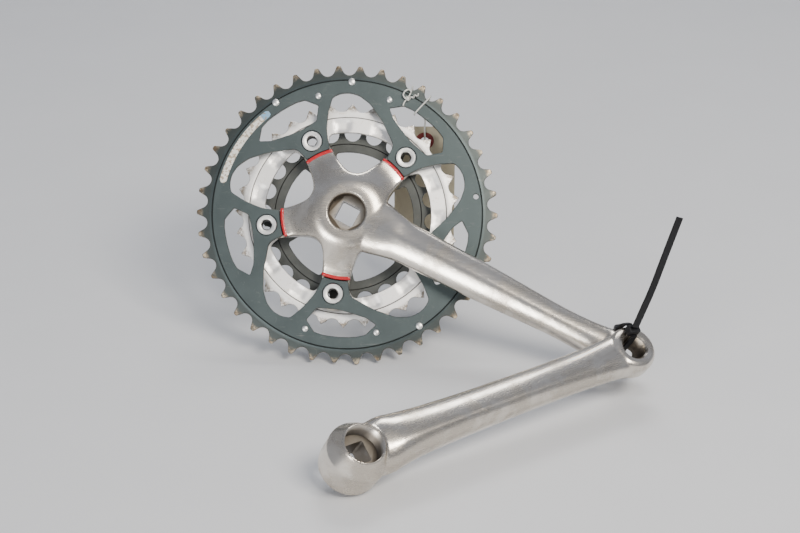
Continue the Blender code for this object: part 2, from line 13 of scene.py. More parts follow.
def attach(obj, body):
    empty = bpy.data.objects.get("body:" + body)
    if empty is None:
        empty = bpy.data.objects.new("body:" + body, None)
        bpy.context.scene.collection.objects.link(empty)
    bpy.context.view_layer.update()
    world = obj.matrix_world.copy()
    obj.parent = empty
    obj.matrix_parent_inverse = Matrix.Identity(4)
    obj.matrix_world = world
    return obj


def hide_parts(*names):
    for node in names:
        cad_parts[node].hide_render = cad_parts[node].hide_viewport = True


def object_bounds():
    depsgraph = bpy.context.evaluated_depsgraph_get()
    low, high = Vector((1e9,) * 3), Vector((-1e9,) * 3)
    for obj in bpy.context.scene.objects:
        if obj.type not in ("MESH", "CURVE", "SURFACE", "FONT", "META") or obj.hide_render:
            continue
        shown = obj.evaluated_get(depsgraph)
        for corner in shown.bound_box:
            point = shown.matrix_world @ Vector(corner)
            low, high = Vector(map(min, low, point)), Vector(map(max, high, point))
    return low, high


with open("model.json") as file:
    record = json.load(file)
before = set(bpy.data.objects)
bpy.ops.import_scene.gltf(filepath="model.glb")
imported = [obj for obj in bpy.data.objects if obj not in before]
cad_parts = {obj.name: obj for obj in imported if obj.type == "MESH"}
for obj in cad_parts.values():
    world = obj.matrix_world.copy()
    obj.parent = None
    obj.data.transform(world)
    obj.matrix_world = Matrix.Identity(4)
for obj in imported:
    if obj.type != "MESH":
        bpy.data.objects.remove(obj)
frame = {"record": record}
cad_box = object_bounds()

MM = 0.001
CRANK, LEFT, TAG = "drive_side_crank", "left_arm", "tag"
MOUNTS = {mount["name"]: mount for mount in frame["record"]["mounts"]}
JOINTS = {joint["name"]: joint for joint in frame["record"]["behaviour"]["joints"]}

# Standards, in millimetres and degrees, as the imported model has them.
CHAIN_PITCH = 12.7
SEAT_R = 3.97
OUTER_TEETH, MIDDLE_TEETH, INNER_TEETH = 42, 32, 24
BOLT_R, INNER_BOLT_R = 47.0, 29.0
BOLT_HOLE_R, POST_HOLE_R = 5.05, 4.3
BOLT_ANGLES = [44.0 + 72.0 * i for i in range(5)]
ARM_DEG, ARM_LENGTH = -28.0, 175.0
LEFT_TURN_DEG = (36.0, 0.8, 34.8)
OUTER_HALF, MIDDLE_HALF, INNER_HALF = 1.5, 1.4, 1.0
MIDDLE_Z, INNER_Z = -7.9, -15.8
GROOVE_R, MIDDLE_GROOVE_R, INNER_GROOVE_R = 78.0, 57.5, 43.0
TAB_BOTTOM, TAB_TOP = -6.2, -1.8
STAR_TIP_R = 38.3
MOUTH_Z, MOUTH_RIM_R = 12.0, 12.6
PULLER_R, PULLER_FLOOR = 11.0, 0.5
BOSS_INBOARD, LEFT_BOSS_IN = -17.0, -15.5
EYE_R, EYE_HOLE_R = 13.5, 7.15
RIGHT_EYE_IN, RIGHT_EYE_OUT = 16.0, 30.0
LEFT_EYE_IN, LEFT_EYE_OUT = 4.0, 18.0
VOXEL = 0.75
TIE_THICK = 1.2
ORIGIN = Vector((0, 0, 0))

RIVETS = [(77.0, a) for a in (88.2, 122.7, 302.6)] + [(70.7, a) for a in (103.9, 69.9, 250.1, 283.7)]
EMPTY_HOLE = (75.0, 7.6)


def crank_matrix():
    out = -Vector(MOUNTS["spindle_seat"]["axis"])
    across = Vector((1, 0, 0))
    return Matrix((across, out.cross(across), out)).transposed().to_4x4()


def left_matrix():
    turn = Euler([math.radians(d) for d in LEFT_TURN_DEG]).to_matrix().to_4x4()
    return Matrix.Translation(JOINTS["left_arm_swing"]["pos_m"]) @ turn


CRANK_FRAME = crank_matrix()
LEFT_FRAME = left_matrix()
TAG_FRAME = Matrix.Translation(JOINTS["tag_swing"]["pos_m"]) @ Matrix.Rotation(math.radians(90), 4, "X")
FRAMES = {CRANK: CRANK_FRAME, LEFT: LEFT_FRAME, TAG: TAG_FRAME}


# Materials


class Paint:
    """A Principled material with a few short ways to wire procedural inputs."""

    def __init__(self, name, metallic, roughness, local=True):
        self.mat = bpy.data.materials.new(name)
        self.mat.use_nodes = True
        self.tree = self.mat.node_tree
        self.shader = self.tree.nodes["Principled BSDF"]
        self.shader.inputs["Metallic"].default_value = metallic
        self.shader.inputs["Roughness"].default_value = roughness
        if local:
            node = self.tree.nodes.new("ShaderNodeAttribute")
            node.attribute_name = "spot"
            self.place = node.outputs["Vector"]
        else:
            self.place = self.tree.nodes.new("ShaderNodeTexCoord").outputs["Object"]

    def put(self, socket, value):
        if isinstance(value, bpy.types.NodeSocket):
            self.tree.links.new(value, socket)
        else:
            socket.default_value = value

    def stretched(self, scale, turn=0.0):
        node = self.tree.nodes.new("ShaderNodeMapping")
        node.inputs["Scale"].default_value = scale
        node.inputs["Rotation"].default_value = (0, 0, math.radians(turn))
        self.put(node.inputs["Vector"], self.place)
        return node.outputs["Vector"]

    def noise(self, size_mm, detail=3.0, rough=0.55, place=None, distortion=0.0):
        node = self.tree.nodes.new("ShaderNodeTexNoise")
        node.inputs["Scale"].default_value = 1.0 / (size_mm * MM)
        node.inputs["Detail"].default_value = detail
        node.inputs["Roughness"].default_value = rough
        node.inputs["Distortion"].default_value = distortion
        self.put(node.inputs["Vector"], place or self.place)
        return node.outputs["Fac"]

    def cells(self, size_mm):
        node = self.tree.nodes.new("ShaderNodeTexVoronoi")
        node.inputs["Scale"].default_value = 1.0 / (size_mm * MM)
        self.put(node.inputs["Vector"], self.place)
        return node.outputs["Distance"]

    def steps(self, value, low, high):
        """Smooth step from zero at low to one at high."""
        node = self.tree.nodes.new("ShaderNodeMapRange")
        node.interpolation_type = "SMOOTHSTEP"
        node.inputs["From Min"].default_value = low
        node.inputs["From Max"].default_value = high
        self.put(node.inputs["Value"], value)
        return node.outputs["Result"]

    def patches(self, low, high, *args, **settings):
        """Noise with its middle range steepened into separate patches."""
        return self.steps(self.noise(*args, **settings), low, high)

    def math(self, operation, one, two=0.0, three=0.0):
        node = self.tree.nodes.new("ShaderNodeMath")
        node.operation = operation
        for socket, value in zip(node.inputs, (one, two, three)):
            self.put(socket, value)
        return node.outputs["Value"]

    def mix(self, factor, one, two):
        node = self.tree.nodes.new("ShaderNodeMix")
        node.data_type = "RGBA"
        self.put(node.inputs["Factor"], factor)
        for socket, value in ((node.inputs[6], one), (node.inputs[7], two)):
            self.put(socket, (*value, 1.0) if isinstance(value, tuple) else value)
        return node.outputs[2]

    def attribute(self, name):
        node = self.tree.nodes.new("ShaderNodeAttribute")
        node.attribute_name = name
        return node.outputs["Fac"]

    def radius(self):
        """Distance from the piece's own Z axis, in millimetres."""
        split = self.tree.nodes.new("ShaderNodeSeparateXYZ")
        self.put(split.inputs["Vector"], self.place)
        flat = self.math("MULTIPLY", split.outputs["X"], split.outputs["X"])
        flat = self.math("MULTIPLY_ADD", split.outputs["Y"], split.outputs["Y"], flat)
        return self.math("MULTIPLY", self.math("SQRT", flat), 1000.0)

    def over(self, color, mask, strength, coat):
        """Lay a coat over a colour where the mask is high."""
        return self.mix(self.math("MULTIPLY", mask, strength), color, coat)

    def vary(self, base, *terms):
        """Base plus each (value, amount) product."""
        for value, amount in terms:
            base = self.math("MULTIPLY_ADD", value, amount, base)
        return base

    def groove(self, radius, centre, near, far):
        """One in a turned groove, fading to zero on both sides of it."""
        away = self.math("ABSOLUTE", self.math("SUBTRACT", radius, centre))
        return self.math("SUBTRACT", 1.0, self.steps(away, near, far))

    def bump(self, *layers):
        """Height layers as (value, strength, depth in millimetres)."""
        normal = None
        for value, strength, depth in layers:
            node = self.tree.nodes.new("ShaderNodeBump")
            node.inputs["Strength"].default_value = strength
            node.inputs["Distance"].default_value = depth * MM
            self.put(node.inputs["Height"], value)
            if normal is not None:
                self.put(node.inputs["Normal"], normal)
            normal = node.outputs["Normal"]
        self.put(self.shader.inputs["Normal"], normal)

    def finish(self, color, roughness=None):
        self.put(self.shader.inputs["Base Color"], color)
        if roughness is not None:
            self.put(self.shader.inputs["Roughness"], roughness)
        return self.mat


def satin_arm(name, along_deg):
    """Hand-worn satin aluminium: fine lines along the arm, rubbed patches, scuffs, grime, and painted shade
    inside the bores.
    """
    paint = Paint(name, 1.0, 0.3)
    lines = paint.noise(0.5, 2.0, 0.6, paint.stretched((0.06, 1.0, 1.0), -along_deg))
    rubbed = paint.patches(0.42, 0.62, 26.0, 4.0, 0.6, distortion=0.6)
    scuffs = paint.noise(1.5, 4.0, 0.7, paint.stretched((0.16, 1.0, 1.0), 38 - along_deg), 1.2)
    scuffs = paint.steps(scuffs, 0.6, 0.72)
    grime = paint.patches(0.6, 0.8, 9.0, 6.0, 0.72, distortion=0.8)
    hollow = paint.attribute("hollow")
    color = paint.mix(rubbed, (0.56, 0.51, 0.44), (0.76, 0.71, 0.635))
    color = paint.over(color, scuffs, 0.5, (0.88, 0.87, 0.85))
    color = paint.over(color, grime, 0.45, (0.36, 0.29, 0.2))
    # Painted shade on the walls of the bores, and on the floor of the left arm's puller mouth.
    color = paint.over(color, hollow, 0.9, (0.075, 0.055, 0.035))
    rough = paint.vary(0.2, (lines, 0.16), (grime, 0.18), (rubbed, -0.07), (hollow, 0.3))
    paint.bump((lines, 0.16, 0.03), (scuffs, 0.25, -0.03), (paint.noise(7.0, 2.0), 0.12, 0.25))
    return paint.finish(color, rough)


def enamel(name):
    """Glossy red enamel, chipped in small patches all over the bead."""
    paint = Paint(name, 0.0, 0.16)
    cloud = paint.noise(3.0, 4.0, 0.6)
    chips = paint.patches(0.62, 0.68, 0.7, 5.0, 0.75)
    color = paint.mix(cloud, (0.42, 0.012, 0.018), (0.62, 0.03, 0.035))
    color = paint.over(color, chips, 0.6, (0.55, 0.42, 0.36))
    rough = paint.vary(0.1, (cloud, 0.16))
    paint.bump((chips, 0.2, -0.04), (paint.noise(1.5, 3.0), 0.1, 0.06))
    return paint.finish(color, rough)


def anodised(name):
    """Dark grey anodised plate whose teeth are worn through to grimy bare metal at their tips."""
    paint = Paint(name, 0.75, 0.42)
    radius = paint.radius()
    wear = paint.attribute("wear")
    cloud = paint.noise(18.0, 4.0, 0.6)
    grain = paint.noise(0.35, 2.0, 0.5)
    color = paint.mix(cloud, (0.058, 0.073, 0.075), (0.092, 0.117, 0.118))
    rub = paint.patches(0.58, 0.74, 5.0, 5.0, 0.7, distortion=1.0)
    color = paint.over(color, rub, 0.3, (0.2, 0.21, 0.19))
    hair = paint.noise(0.9, 3.0, 0.7, paint.stretched((0.06, 1.0, 1.0), 35), 0.6)
    hair = paint.steps(hair, 0.66, 0.72)
    color = paint.over(color, hair, 0.3, (0.34, 0.33, 0.3))
    rim = paint.steps(radius, 78.4, 80.5)
    color = paint.over(color, rim, 0.45, (0.045, 0.046, 0.04))
    broken = paint.patches(0.34, 0.6, 1.6, 5.0, 0.72)
    tips = paint.steps(radius, 82.6, 86.2)
    bare = paint.math("MAXIMUM", paint.math("MULTIPLY", tips, 1.15), paint.math("MULTIPLY", wear, 0.6))
    bare = paint.math("MULTIPLY", bare, broken)
    grime = paint.patches(0.4, 0.62, 2.8, 5.0, 0.7)
    metal = paint.mix(grime, (0.56, 0.47, 0.34), (0.17, 0.115, 0.065))
    color = paint.mix(bare, color, metal)
    line = paint.groove(radius, GROOVE_R, 0.15, 0.5)
    color = paint.over(color, line, 0.85, (0.01, 0.011, 0.01))
    rough = paint.vary(0.36, (cloud, 0.16), (rub, -0.08))
    paint.bump((grain, 0.1, 0.03), (grime, 0.12, 0.08), (hair, 0.15, -0.02))
    return paint.finish(color, rough)


def bright_ring(name):
    """Bright middle ring with chain rub, grime patches, a darker brown band broken into patches around the
    tooth roots, and a dark line in the groove.
    """
    paint = Paint(name, 1.0, 0.28)
    wear = paint.attribute("wear")
    radius = paint.radius()
    cloud = paint.noise(11.0, 5.0, 0.62)
    rub = paint.noise(0.6, 3.0, 0.6)
    grime = paint.patches(0.56, 0.7, 4.5, 6.0, 0.72, distortion=0.7)
    edge = paint.steps(radius, 60.0, 63.0)
    color = paint.mix(cloud, (1.0, 0.99, 0.965), (0.9, 0.88, 0.85))
    color = paint.over(color, grime, 0.35, (0.42, 0.34, 0.24))
    root_band = paint.math("MULTIPLY", edge, paint.patches(0.34, 0.58, 2.0, 5.0, 0.7))
    color = paint.over(color, root_band, 0.85, (0.19, 0.14, 0.085))
    line = paint.groove(radius, MIDDLE_GROOVE_R, 0.12, 0.4)
    color = paint.over(color, line, 0.9, (0.04, 0.035, 0.03))
    color = paint.over(color, wear, 0.15, (0.95, 0.94, 0.9))
    rough = paint.vary(0.36, (cloud, 0.16), (grime, 0.15))
    paint.bump((rub, 0.2, 0.04), (grime, 0.15, 0.06))
    return paint.finish(color, rough)


def dark_ring(name):
    """Blackened steel ring, greasy, with thin bright edges."""
    paint = Paint(name, 0.85, 0.4)
    wear = paint.attribute("wear")
    radius = paint.radius()
    cloud = paint.noise(8.0, 5.0, 0.6)
    dust = paint.patches(0.55, 0.75, 3.0, 6.0, 0.7)
    color = paint.mix(cloud, (0.05, 0.054, 0.052), (0.12, 0.125, 0.118))
    color = paint.over(color, dust, 0.3, (0.16, 0.13, 0.1))
    broken = paint.patches(0.4, 0.6, 1.2, 4.0, 0.7)
    worn = paint.math("MULTIPLY", wear, broken)
    color = paint.over(color, worn, 0.6, (0.4, 0.38, 0.34))
    line = paint.groove(radius, INNER_GROOVE_R, 0.12, 0.4)
    color = paint.over(color, line, 0.8, (0.008, 0.008, 0.008))
    rough = paint.vary(0.36, (cloud, 0.2))
    paint.bump((paint.noise(0.7, 3.0), 0.2, 0.04), (dust, 0.2, 0.05))
    return paint.finish(color, rough)


def plated(name, tint=(0.86, 0.86, 0.84)):
    """Bright plated fastener with hairline scratches, patches of dirt, and painted shade where it is
    recessed.
    """
    paint = Paint(name, 1.0, 0.2)
    cloud = paint.noise(4.0, 4.0, 0.6)
    dirt = paint.patches(0.56, 0.72, 1.6, 5.0, 0.7)
    hollow = paint.attribute("hollow")
    hair = paint.noise(0.25, 2.0, 0.6, paint.stretched((0.15, 1.0, 1.0), 25))
    color = paint.mix(cloud, tint, tuple(0.84 * c for c in tint))
    color = paint.over(color, dirt, 0.3, (0.3, 0.25, 0.18))
    # Painted shade in the hollow at the middle of each fastener.
    color = paint.over(color, hollow, 0.85, (0.05, 0.045, 0.04))
    rough = paint.vary(0.3, (cloud, 0.16), (hollow, 0.3))
    paint.bump((hair, 0.15, 0.02), (dirt, 0.15, 0.03))
    return paint.finish(color, rough)


def nylon(name):
    paint = Paint(name, 0.0, 0.38)
    cloud = paint.noise(3.0, 4.0, 0.6)
    dust = paint.patches(0.62, 0.75, 0.8, 4.0, 0.7)
    color = paint.mix(cloud, (0.004, 0.004, 0.005), (0.01, 0.01, 0.012))
    color = paint.over(color, dust, 0.15, (0.06, 0.057, 0.055))
    rough = paint.vary(0.4, (cloud, 0.2))
    paint.shader.inputs["Specular IOR Level"].default_value = 0.3
    paint.bump((paint.noise(0.4, 3.0), 0.12, 0.03), (cloud, 0.1, 0.1))
    return paint.finish(color, rough)


def galvanised(name):
    paint = Paint(name, 0.85, 0.5)
    flakes = paint.cells(0.9)
    cloud = paint.noise(1.4, 4.0, 0.65)
    color = paint.mix(cloud, (0.84, 0.84, 0.79), (0.62, 0.62, 0.58))
    rough = paint.vary(0.5, (cloud, 0.2))
    paint.bump((flakes, 0.15, 0.04), (cloud, 0.2, 0.05))
    return paint.finish(color, rough)


def card_stock(name):
    """Manila card with visible fibres, glossy handling stains and dark flecks."""
    paint = Paint(name, 0.0, 0.85)
    fibre = paint.noise(0.7, 4.0, 0.7, paint.stretched((0.35, 1.0, 1.0), 30))
    stain = paint.patches(0.5, 0.72, 16.0, 5.0, 0.65, distortion=0.8)
    fleck = paint.patches(0.66, 0.74, 0.6, 3.0, 0.7)
    color = paint.mix(fibre, (0.50, 0.44, 0.31), (0.58, 0.52, 0.38))
    color = paint.over(color, stain, 0.4, (0.36, 0.28, 0.17))
    color = paint.over(color, fleck, 0.4, (0.3, 0.22, 0.13))
    rough = paint.vary(0.88, (stain, -0.15))
    paint.bump((fibre, 0.25, 0.05), (paint.noise(9.0, 3.0), 0.2, 0.3))
    return paint.finish(color, rough)


def fibre_ring(name):
    paint = Paint(name, 0.0, 0.7)
    cloud = paint.noise(1.5, 5.0, 0.7)
    color = paint.mix(cloud, (0.16, 0.02, 0.02), (0.26, 0.045, 0.04))
    rough = paint.vary(0.55, (cloud, 0.3))
    paint.bump((cloud, 0.3, 0.06))
    return paint.finish(color, rough)


# Outlines and mesh helpers


def polar(radius, degrees, z=0.0):
    angle = math.radians(degrees)
    return Vector((radius * math.cos(angle), radius * math.sin(angle), z))


SEATS = [polar(BOLT_R, angle) for angle in BOLT_ANGLES]
POSTS = [polar(INNER_BOLT_R, angle) for angle in BOLT_ANGLES]


def circle(radius, centre=ORIGIN, steps=48):
    return [centre + polar(radius, 360.0 * i / steps) for i in range(steps)]


def rounded(corners, radius, steps):
    points = []
    for i, corner in enumerate(corners):
        before = corners[i - 1] - corner
        after = corners[(i + 1) % len(corners)] - corner
        cut = min(radius, before.length * 0.47, after.length * 0.47)
        start = corner + before.normalized() * cut
        end = corner + after.normalized() * cut
        for k in range(steps + 1):
            t = k / steps
            points.append(start * (1 - t) ** 2 + corner * 2 * t * (1 - t) + end * t**2)
    return points


def smooth_path(points, steps):
    """Catmull-Rom curve through given points."""
    padded = [points[0], *points, points[-1]]
    path = []
    for i in range(1, len(padded) - 2):
        a, b, c, d = padded[i - 1 : i + 3]
        for k in range(steps):
            t = k / steps
            spot = b * 2 + (c - a) * t + (a * 2 - b * 5 + c * 4 - d) * t**2
            path.append((spot + (b * 3 - a - c * 3 + d) * t**3) / 2)
    path.append(points[-1])
    return path


def tooth_outline(teeth, phase, tip_height, short_every, seat_r, tip_half, seat_deg=60):
    """Worn sprocket outline: every few teeth are cut lower to let the chain climb."""
    pitch_r = CHAIN_PITCH / (2 * math.sin(math.pi / teeth))
    step = 360.0 / teeth
    points = []
    for i in range(teeth):
        tip = phase + step * i
        height = tip_height - (0.6 if i % short_every == 2 else 0.0) + 0.15 * math.sin(i * 2.3)
        lean = 0.12 * math.sin(i * 1.7)
        for across, drop in ((-1.0, 0.62), (-0.72, 0.16), (0.0, 0.0), (0.72, 0.12), (1.0, 0.58)):
            angle = tip + math.degrees((across * tip_half + lean) / pitch_r)
            points.append(polar(pitch_r + height - drop, angle))
        centre = polar(pitch_r + seat_r - SEAT_R, tip + step / 2)
        for k in range(11):
            turn = seat_deg - 2 * seat_deg * k / 10
            points.append(centre + polar(seat_r, tip + step / 2 + 180 + turn))
    return points


def signed_area(points):
    return sum(p.x * q.y - q.x * p.y for p, q in zip(points, points[1:] + points[:1])) / 2


def shifted(points, distance):
    """Closed outline moved sideways; a positive distance shrinks it."""
    sign = 1 if signed_area(points) > 0 else -1
    moved = []
    for i, point in enumerate(points):
        before = (point - points[i - 1]).normalized()
        after = (points[(i + 1) % len(points)] - point).normalized()
        along = before + after
        side = Vector((-along.y, along.x, 0)).normalized() * sign
        spread = max(0.55, side.dot(Vector((-before.y, before.x, 0)) * sign))
        moved.append(point + side * distance / spread)
    return moved


def inside_mask(spots, loops):
    """For each spot, whether it lies inside an odd number of loops."""
    odd = np.zeros(len(spots), bool)
    for loop in loops:
        ends = np.array([p.to_2d() for p in loop])
        starts = np.roll(ends, 1, axis=0)
        for (x0, y0), (x1, y1) in zip(starts, ends):
            if y0 == y1:
                continue
            spans = (y0 > spots[:, 1]) != (y1 > spots[:, 1])
            odd ^= spans & (spots[:, 0] < x0 + (spots[:, 1] - y0) * (x1 - x0) / (y1 - y0))
    return odd


def relief_plate(name, loops, dividers, top, bottom, chamfer, wear):
    """Plate with a chamfer on every edge and faces that follow the height functions top and bottom."""
    outer, *holes = loops
    insets = [shifted(outer, chamfer)] + [shifted(hole, -chamfer) for hole in holes]
    spots, edges = [], []
    for loop in [*loops, *insets, *dividers]:
        first = len(spots)
        spots += [p.to_2d() for p in loop]
        edges += [(first + i, first + (i + 1) % len(loop)) for i in range(len(loop))]
    border_count = sum(len(loop) for loop in loops)
    flat, _, triangles, sources, *_ = delaunay_2d_cdt(spots, edges, [], 0, 1e-6)
    on_edge = [any(s < border_count for s in source) for source in sources]
    centres = np.array([sum((flat[i] for i in t), Vector((0, 0))) / 3 for t in triangles])
    keep = inside_mask(centres, loops)
    bm = bmesh.new()
    layer = bm.verts.layers.float.new("wear")
    low, high = [], []
    for spot, edge in zip(flat, on_edge):
        inset = chamfer if edge else 0.0
        high.append(bm.verts.new((spot.x, spot.y, top(spot) - inset)))
        low.append(bm.verts.new((spot.x, spot.y, bottom(spot) + inset)))
        high[-1][layer] = low[-1][layer] = wear(spot, edge)
    border = set()
    for triangle, kept in zip(triangles, keep):
        if not kept:
            continue
        bm.faces.new([high[i] for i in triangle])
        bm.faces.new([low[i] for i in reversed(triangle)])
        for i, j in zip(triangle, triangle[1:] + triangle[:1]):
            if (j, i) in border:
                border.discard((j, i))
            else:
                border.add((i, j))
    for i, j in sorted(border):
        bm.faces.new((low[i], low[j], high[j], high[i]))
    bmesh.ops.delete(bm, geom=[v for v in bm.verts if not v.link_faces], context="VERTS")
    return make(name, bm)


def link(name, data):
    obj = bpy.data.objects.new(name, data)
    bpy.context.scene.collection.objects.link(obj)
    return obj


def make(name, bm, sharp=38):
    """Turn a bmesh in millimetres into an object in metres, smooth up to the sharp angle."""
    bmesh.ops.recalc_face_normals(bm, faces=bm.faces)
    bmesh.ops.scale(bm, vec=(MM, MM, MM), verts=bm.verts)
    mesh = bpy.data.meshes.new(name)
    bm.to_mesh(mesh)
    bm.free()
    mesh.shade_smooth()
    mesh.set_sharp_from_angle(angle=math.radians(sharp))
    return link(name, mesh)


def weighted(obj):
    """Shade chamfers softly while flat faces stay flat."""
    mod = obj.modifiers.new("weighted_normals", "WEIGHTED_NORMAL")
    mod.keep_sharp = True
    return obj


def place(obj, mat, body, slot, *nodes, matrix=None):
    """Remember each vertex's own-frame position for the material, then move the mesh to its body's frame."""
    spots = np.empty(len(obj.data.vertices) * 3, np.float32)
    obj.data.vertices.foreach_get("co", spots)
    obj.data.attributes.new("spot", "FLOAT_VECTOR", "POINT").data.foreach_set("vector", spots)
    obj.data.transform(matrix or FRAMES[body])
    obj.data.materials.clear()
    obj.data.materials.append(mat)
    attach(obj, body)
    if nodes:
        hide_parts(*nodes)
    return obj


def loft(sections, closed=False):
    bm = bmesh.new()
    rows = [[bm.verts.new(p) for p in section] for section in sections]
    count = len(rows[0])
    pairs = list(zip(rows, rows[1:]))
    if closed:
        pairs.append((rows[-1], rows[0]))
    for one, two in pairs:
        for i in range(count):
            nxt = (i + 1) % count
            bm.faces.new((one[i], one[nxt], two[nxt], two[i]))
    if not closed:
        bm.faces.new(reversed(rows[0]))
        bm.faces.new(rows[-1])
    return bm


def turned(profile, steps=64, centre=ORIGIN):
    """Solid of revolution from (radius, z) pairs, bottom to top."""
    sections = []
    for radius, z in profile:
        sections.append([centre + polar(radius, 360.0 * (i + 0.37) / steps, z) for i in range(steps)])
    return loft(sections)


def rod(radius, z_low, z_high, centre, steps=40):
    return turned([(radius, z_low), (radius, z_high)], steps, centre)


def spun(bm, degrees):
    bmesh.ops.rotate(bm, verts=bm.verts, matrix=Matrix.Rotation(math.radians(degrees), 3, "Z"))
    return bm


def tangent(path, i):
    return (path[min(i + 1, len(path) - 1)] - path[max(i - 1, 0)]).normalized()


def merged(*parts):
    """Join several bmeshes into one."""
    whole = bmesh.new()
    for part in parts:
        mesh = bpy.data.meshes.new("part")
        part.to_mesh(mesh)
        part.free()
        whole.from_mesh(mesh)
        bpy.data.meshes.remove(mesh)
    return whole


def applied(obj):
    """Replace the object's mesh with its evaluated mesh."""
    graph = bpy.context.evaluated_depsgraph_get()
    result = bpy.data.meshes.new_from_object(obj.evaluated_get(graph))
    obj.modifiers.clear()
    old = obj.data
    obj.data = result
    bpy.data.meshes.remove(old)
    return obj


def forged(name, bm, rounds):
    """Fuse overlapping solids into one skin and soften it, as a forging is."""
    obj = make(name, bm)
    mod = obj.modifiers.new("fuse", "REMESH")
    mod.mode = "VOXEL"
    mod.voxel_size = VOXEL * MM
    mod.use_smooth_shade = True
    soft = obj.modifiers.new("soften", "SMOOTH")
    soft.factor = 0.5
    soft.iterations = rounds
    return applied(obj)


def cut(obj, *cutters):
    for bm in cutters:
        tool = make("cutter", bm)
        mod = obj.modifiers.new("cut", "BOOLEAN")
        mod.operation = "DIFFERENCE"
        mod.solver = "MANIFOLD"
        mod.object = tool
        bpy.context.view_layer.update()
        applied(obj)
        bpy.data.objects.remove(tool, do_unlink=True)
    obj.data.shade_smooth()
    obj.data.set_sharp_from_angle(angle=math.radians(40))
    return obj


def paint_vertices(obj, **fields):
    """Store float fields, each a function of the vertex in millimetres, on the mesh."""
    count = len(obj.data.vertices)
    spots = np.empty(count * 3)
    obj.data.vertices.foreach_get("co", spots)
    spots = spots.reshape(-1, 3) / MM
    for field, rule in fields.items():
        layer = obj.data.attributes.new(field, "FLOAT", "POINT")
        layer.data.foreach_set("value", np.clip(rule(spots), 0.0, 1.0).astype(np.float32))


def fade(values, low, high):
    t = np.clip((values - low) / (high - low), 0.0, 1.0)
    return t * t * (3 - 2 * t)


# Chainrings


def outer_openings():
    """The star-shaped centre hole, and the window outboard of each bolt."""
    corners = []
    for bolt in BOLT_ANGLES:
        for angle in (-11, -6, 0, 6, 11):
            corners.append(polar(39.0, bolt + angle))
        flank = [(42.5, 11.2), (48, 12.2), (57.5, 25.5), (65.5, 34.5), (69.4, 40.5), (70.6, 45), (70.3, 49.5)]
        flank += [(68.4, 53.4), (65.0, 54.6), (60, 56.7), (50, 60), (43, 60.8)]
        corners += [polar(radius, bolt + angle) for radius, angle in flank]
    windows = []
    for bolt in BOLT_ANGLES:
        shape = [(65.5, -11), (70.8, -5.5)] + [(71.3, 4 * k - 1.5) for k in range(5)]
        shape += [(70.8, 18.5), (66.3, 24.5), (61.3, 20.3), (58, 13.5), (56.2, 7.5), (55.6, 2), (57, -7.5)]
        windows.append(rounded([polar(r, bolt + a) for r, a in shape], 1.1, 4))
    return rounded(corners, 2.4, 5), windows


def outer_ring(mat):
    centre_hole, windows = outer_openings()
    holes = [circle(BOLT_HOLE_R, seat) for seat in SEATS]
    pins = [circle(1.4, polar(r, a), 16) for r, a in RIVETS] + [circle(1.6, polar(*EMPTY_HOLE), 20)]
    teeth = tooth_outline(OUTER_TEETH, 7.86, tip_height=1.95, short_every=7, seat_r=4.1, tip_half=1.25)
    dividers = [circle(r, steps=210) for r in (77.55, 77.85, 78.15, 78.45, 79.6, 80.4)]
    dividers += [circle(radius, seat) for radius in (6.2, 6.32) for seat in SEATS]

    def top(spot):
        radius = spot.length
        if any((spot - seat.to_2d()).length < 6.26 for seat in SEATS):
            return OUTER_HALF - 1.4
        if 77.7 < radius < 78.3:
            return OUTER_HALF - 0.3
        return OUTER_HALF - 0.75 * float(fade(radius, 79.4, 87.4)) - 0.25 * (radius > 79.5)

    def wear(spot, edge):
        rim = 0.95 if spot.length > 80.5 else 0.35
        return rim if edge else 0.0

    loops = [teeth, centre_hole, *windows, *holes, *pins]
    back = ring_back(-OUTER_HALF, 0.8, 79.4, 87.4)
    ring = relief_plate("outer_ring", loops, dividers, top, back, 0.28, wear)
    return place(weighted(ring), mat, CRANK, "anodised_grey", "outer_chainring")


def printed_strip(mat):
    """Faded printed strip on the outer ring, a hair above its face, with an inked first end."""
    steps, start, sweep = 60, 127.5, 38.5
    outline = [(-1, -0.015), (-1, 0.015), (-0.94, 0.045), (0.94, 0.045), (1, 0.015), (1, -0.015)]
    sections = []
    for k in range(steps + 1):
        share = k / steps
        pinch = 1.0 - 0.55 * max(0.0, share - 0.97) / 0.03 - 0.4 * max(0.0, 0.03 - share) / 0.03
        row = [(74.4 + 2.0 * side * pinch, OUTER_HALF + lift) for side, lift in outline]
        sections.append([polar(radius, start + sweep * share, z) for radius, z in row])
    strip = make("printed_strip", loft(sections))

    def inked(spots):
        angles = np.degrees(np.arctan2(spots[:, 1], spots[:, 0]))
        return angles < start + sweep * 6.5 / steps

    paint_vertices(strip, strip_end=inked)
    return place(strip, mat, CRANK, "anodised_grey")


def strip_ink(name):
    paint = Paint(name, 0.0, 0.5)
    tip = paint.attribute("strip_end")
    blocks = paint.noise(1.7, 2.0, 0.5, distortion=0.4)
    worn = paint.steps(blocks, 0.52, 0.56)
    fade_out = paint.patches(0.4, 0.62, 6.0, 4.0, 0.6)
    ink = paint.mix(tip, (0.84, 0.82, 0.74), (0.2, 0.42, 0.62))
    ink = paint.over(ink, worn, 0.75, (0.3, 0.2, 0.1))
    ink = paint.over(ink, fade_out, 0.25, (0.4, 0.38, 0.33))
    paint.bump((blocks, 0.2, 0.03))
    return paint.finish(ink)


def ring_back(face, rise, start, end):
    """Flat back of a ring, thinning from the start radius to the tooth tips."""
    return lambda spot: face + rise * float(fade(spot.length, start, end))


def edge_wear(amount):
    return lambda spot, edge: amount if edge else 0.0


def tabbed_edge(edge_r, tab_r, half_deg, radius):
    """Inner edge of a ring, with a tab towards the axis at each bolt."""
    corners = []
    for bolt in BOLT_ANGLES:
        corners += [polar(tab_r, bolt + half_deg * f) for f in (-0.7, -0.35, 0, 0.35, 0.7)]
        for k in range(9):
            corners.append(polar(edge_r, bolt + half_deg + (72 - 2 * half_deg) * k / 8))
    return rounded(corners, radius, 4)


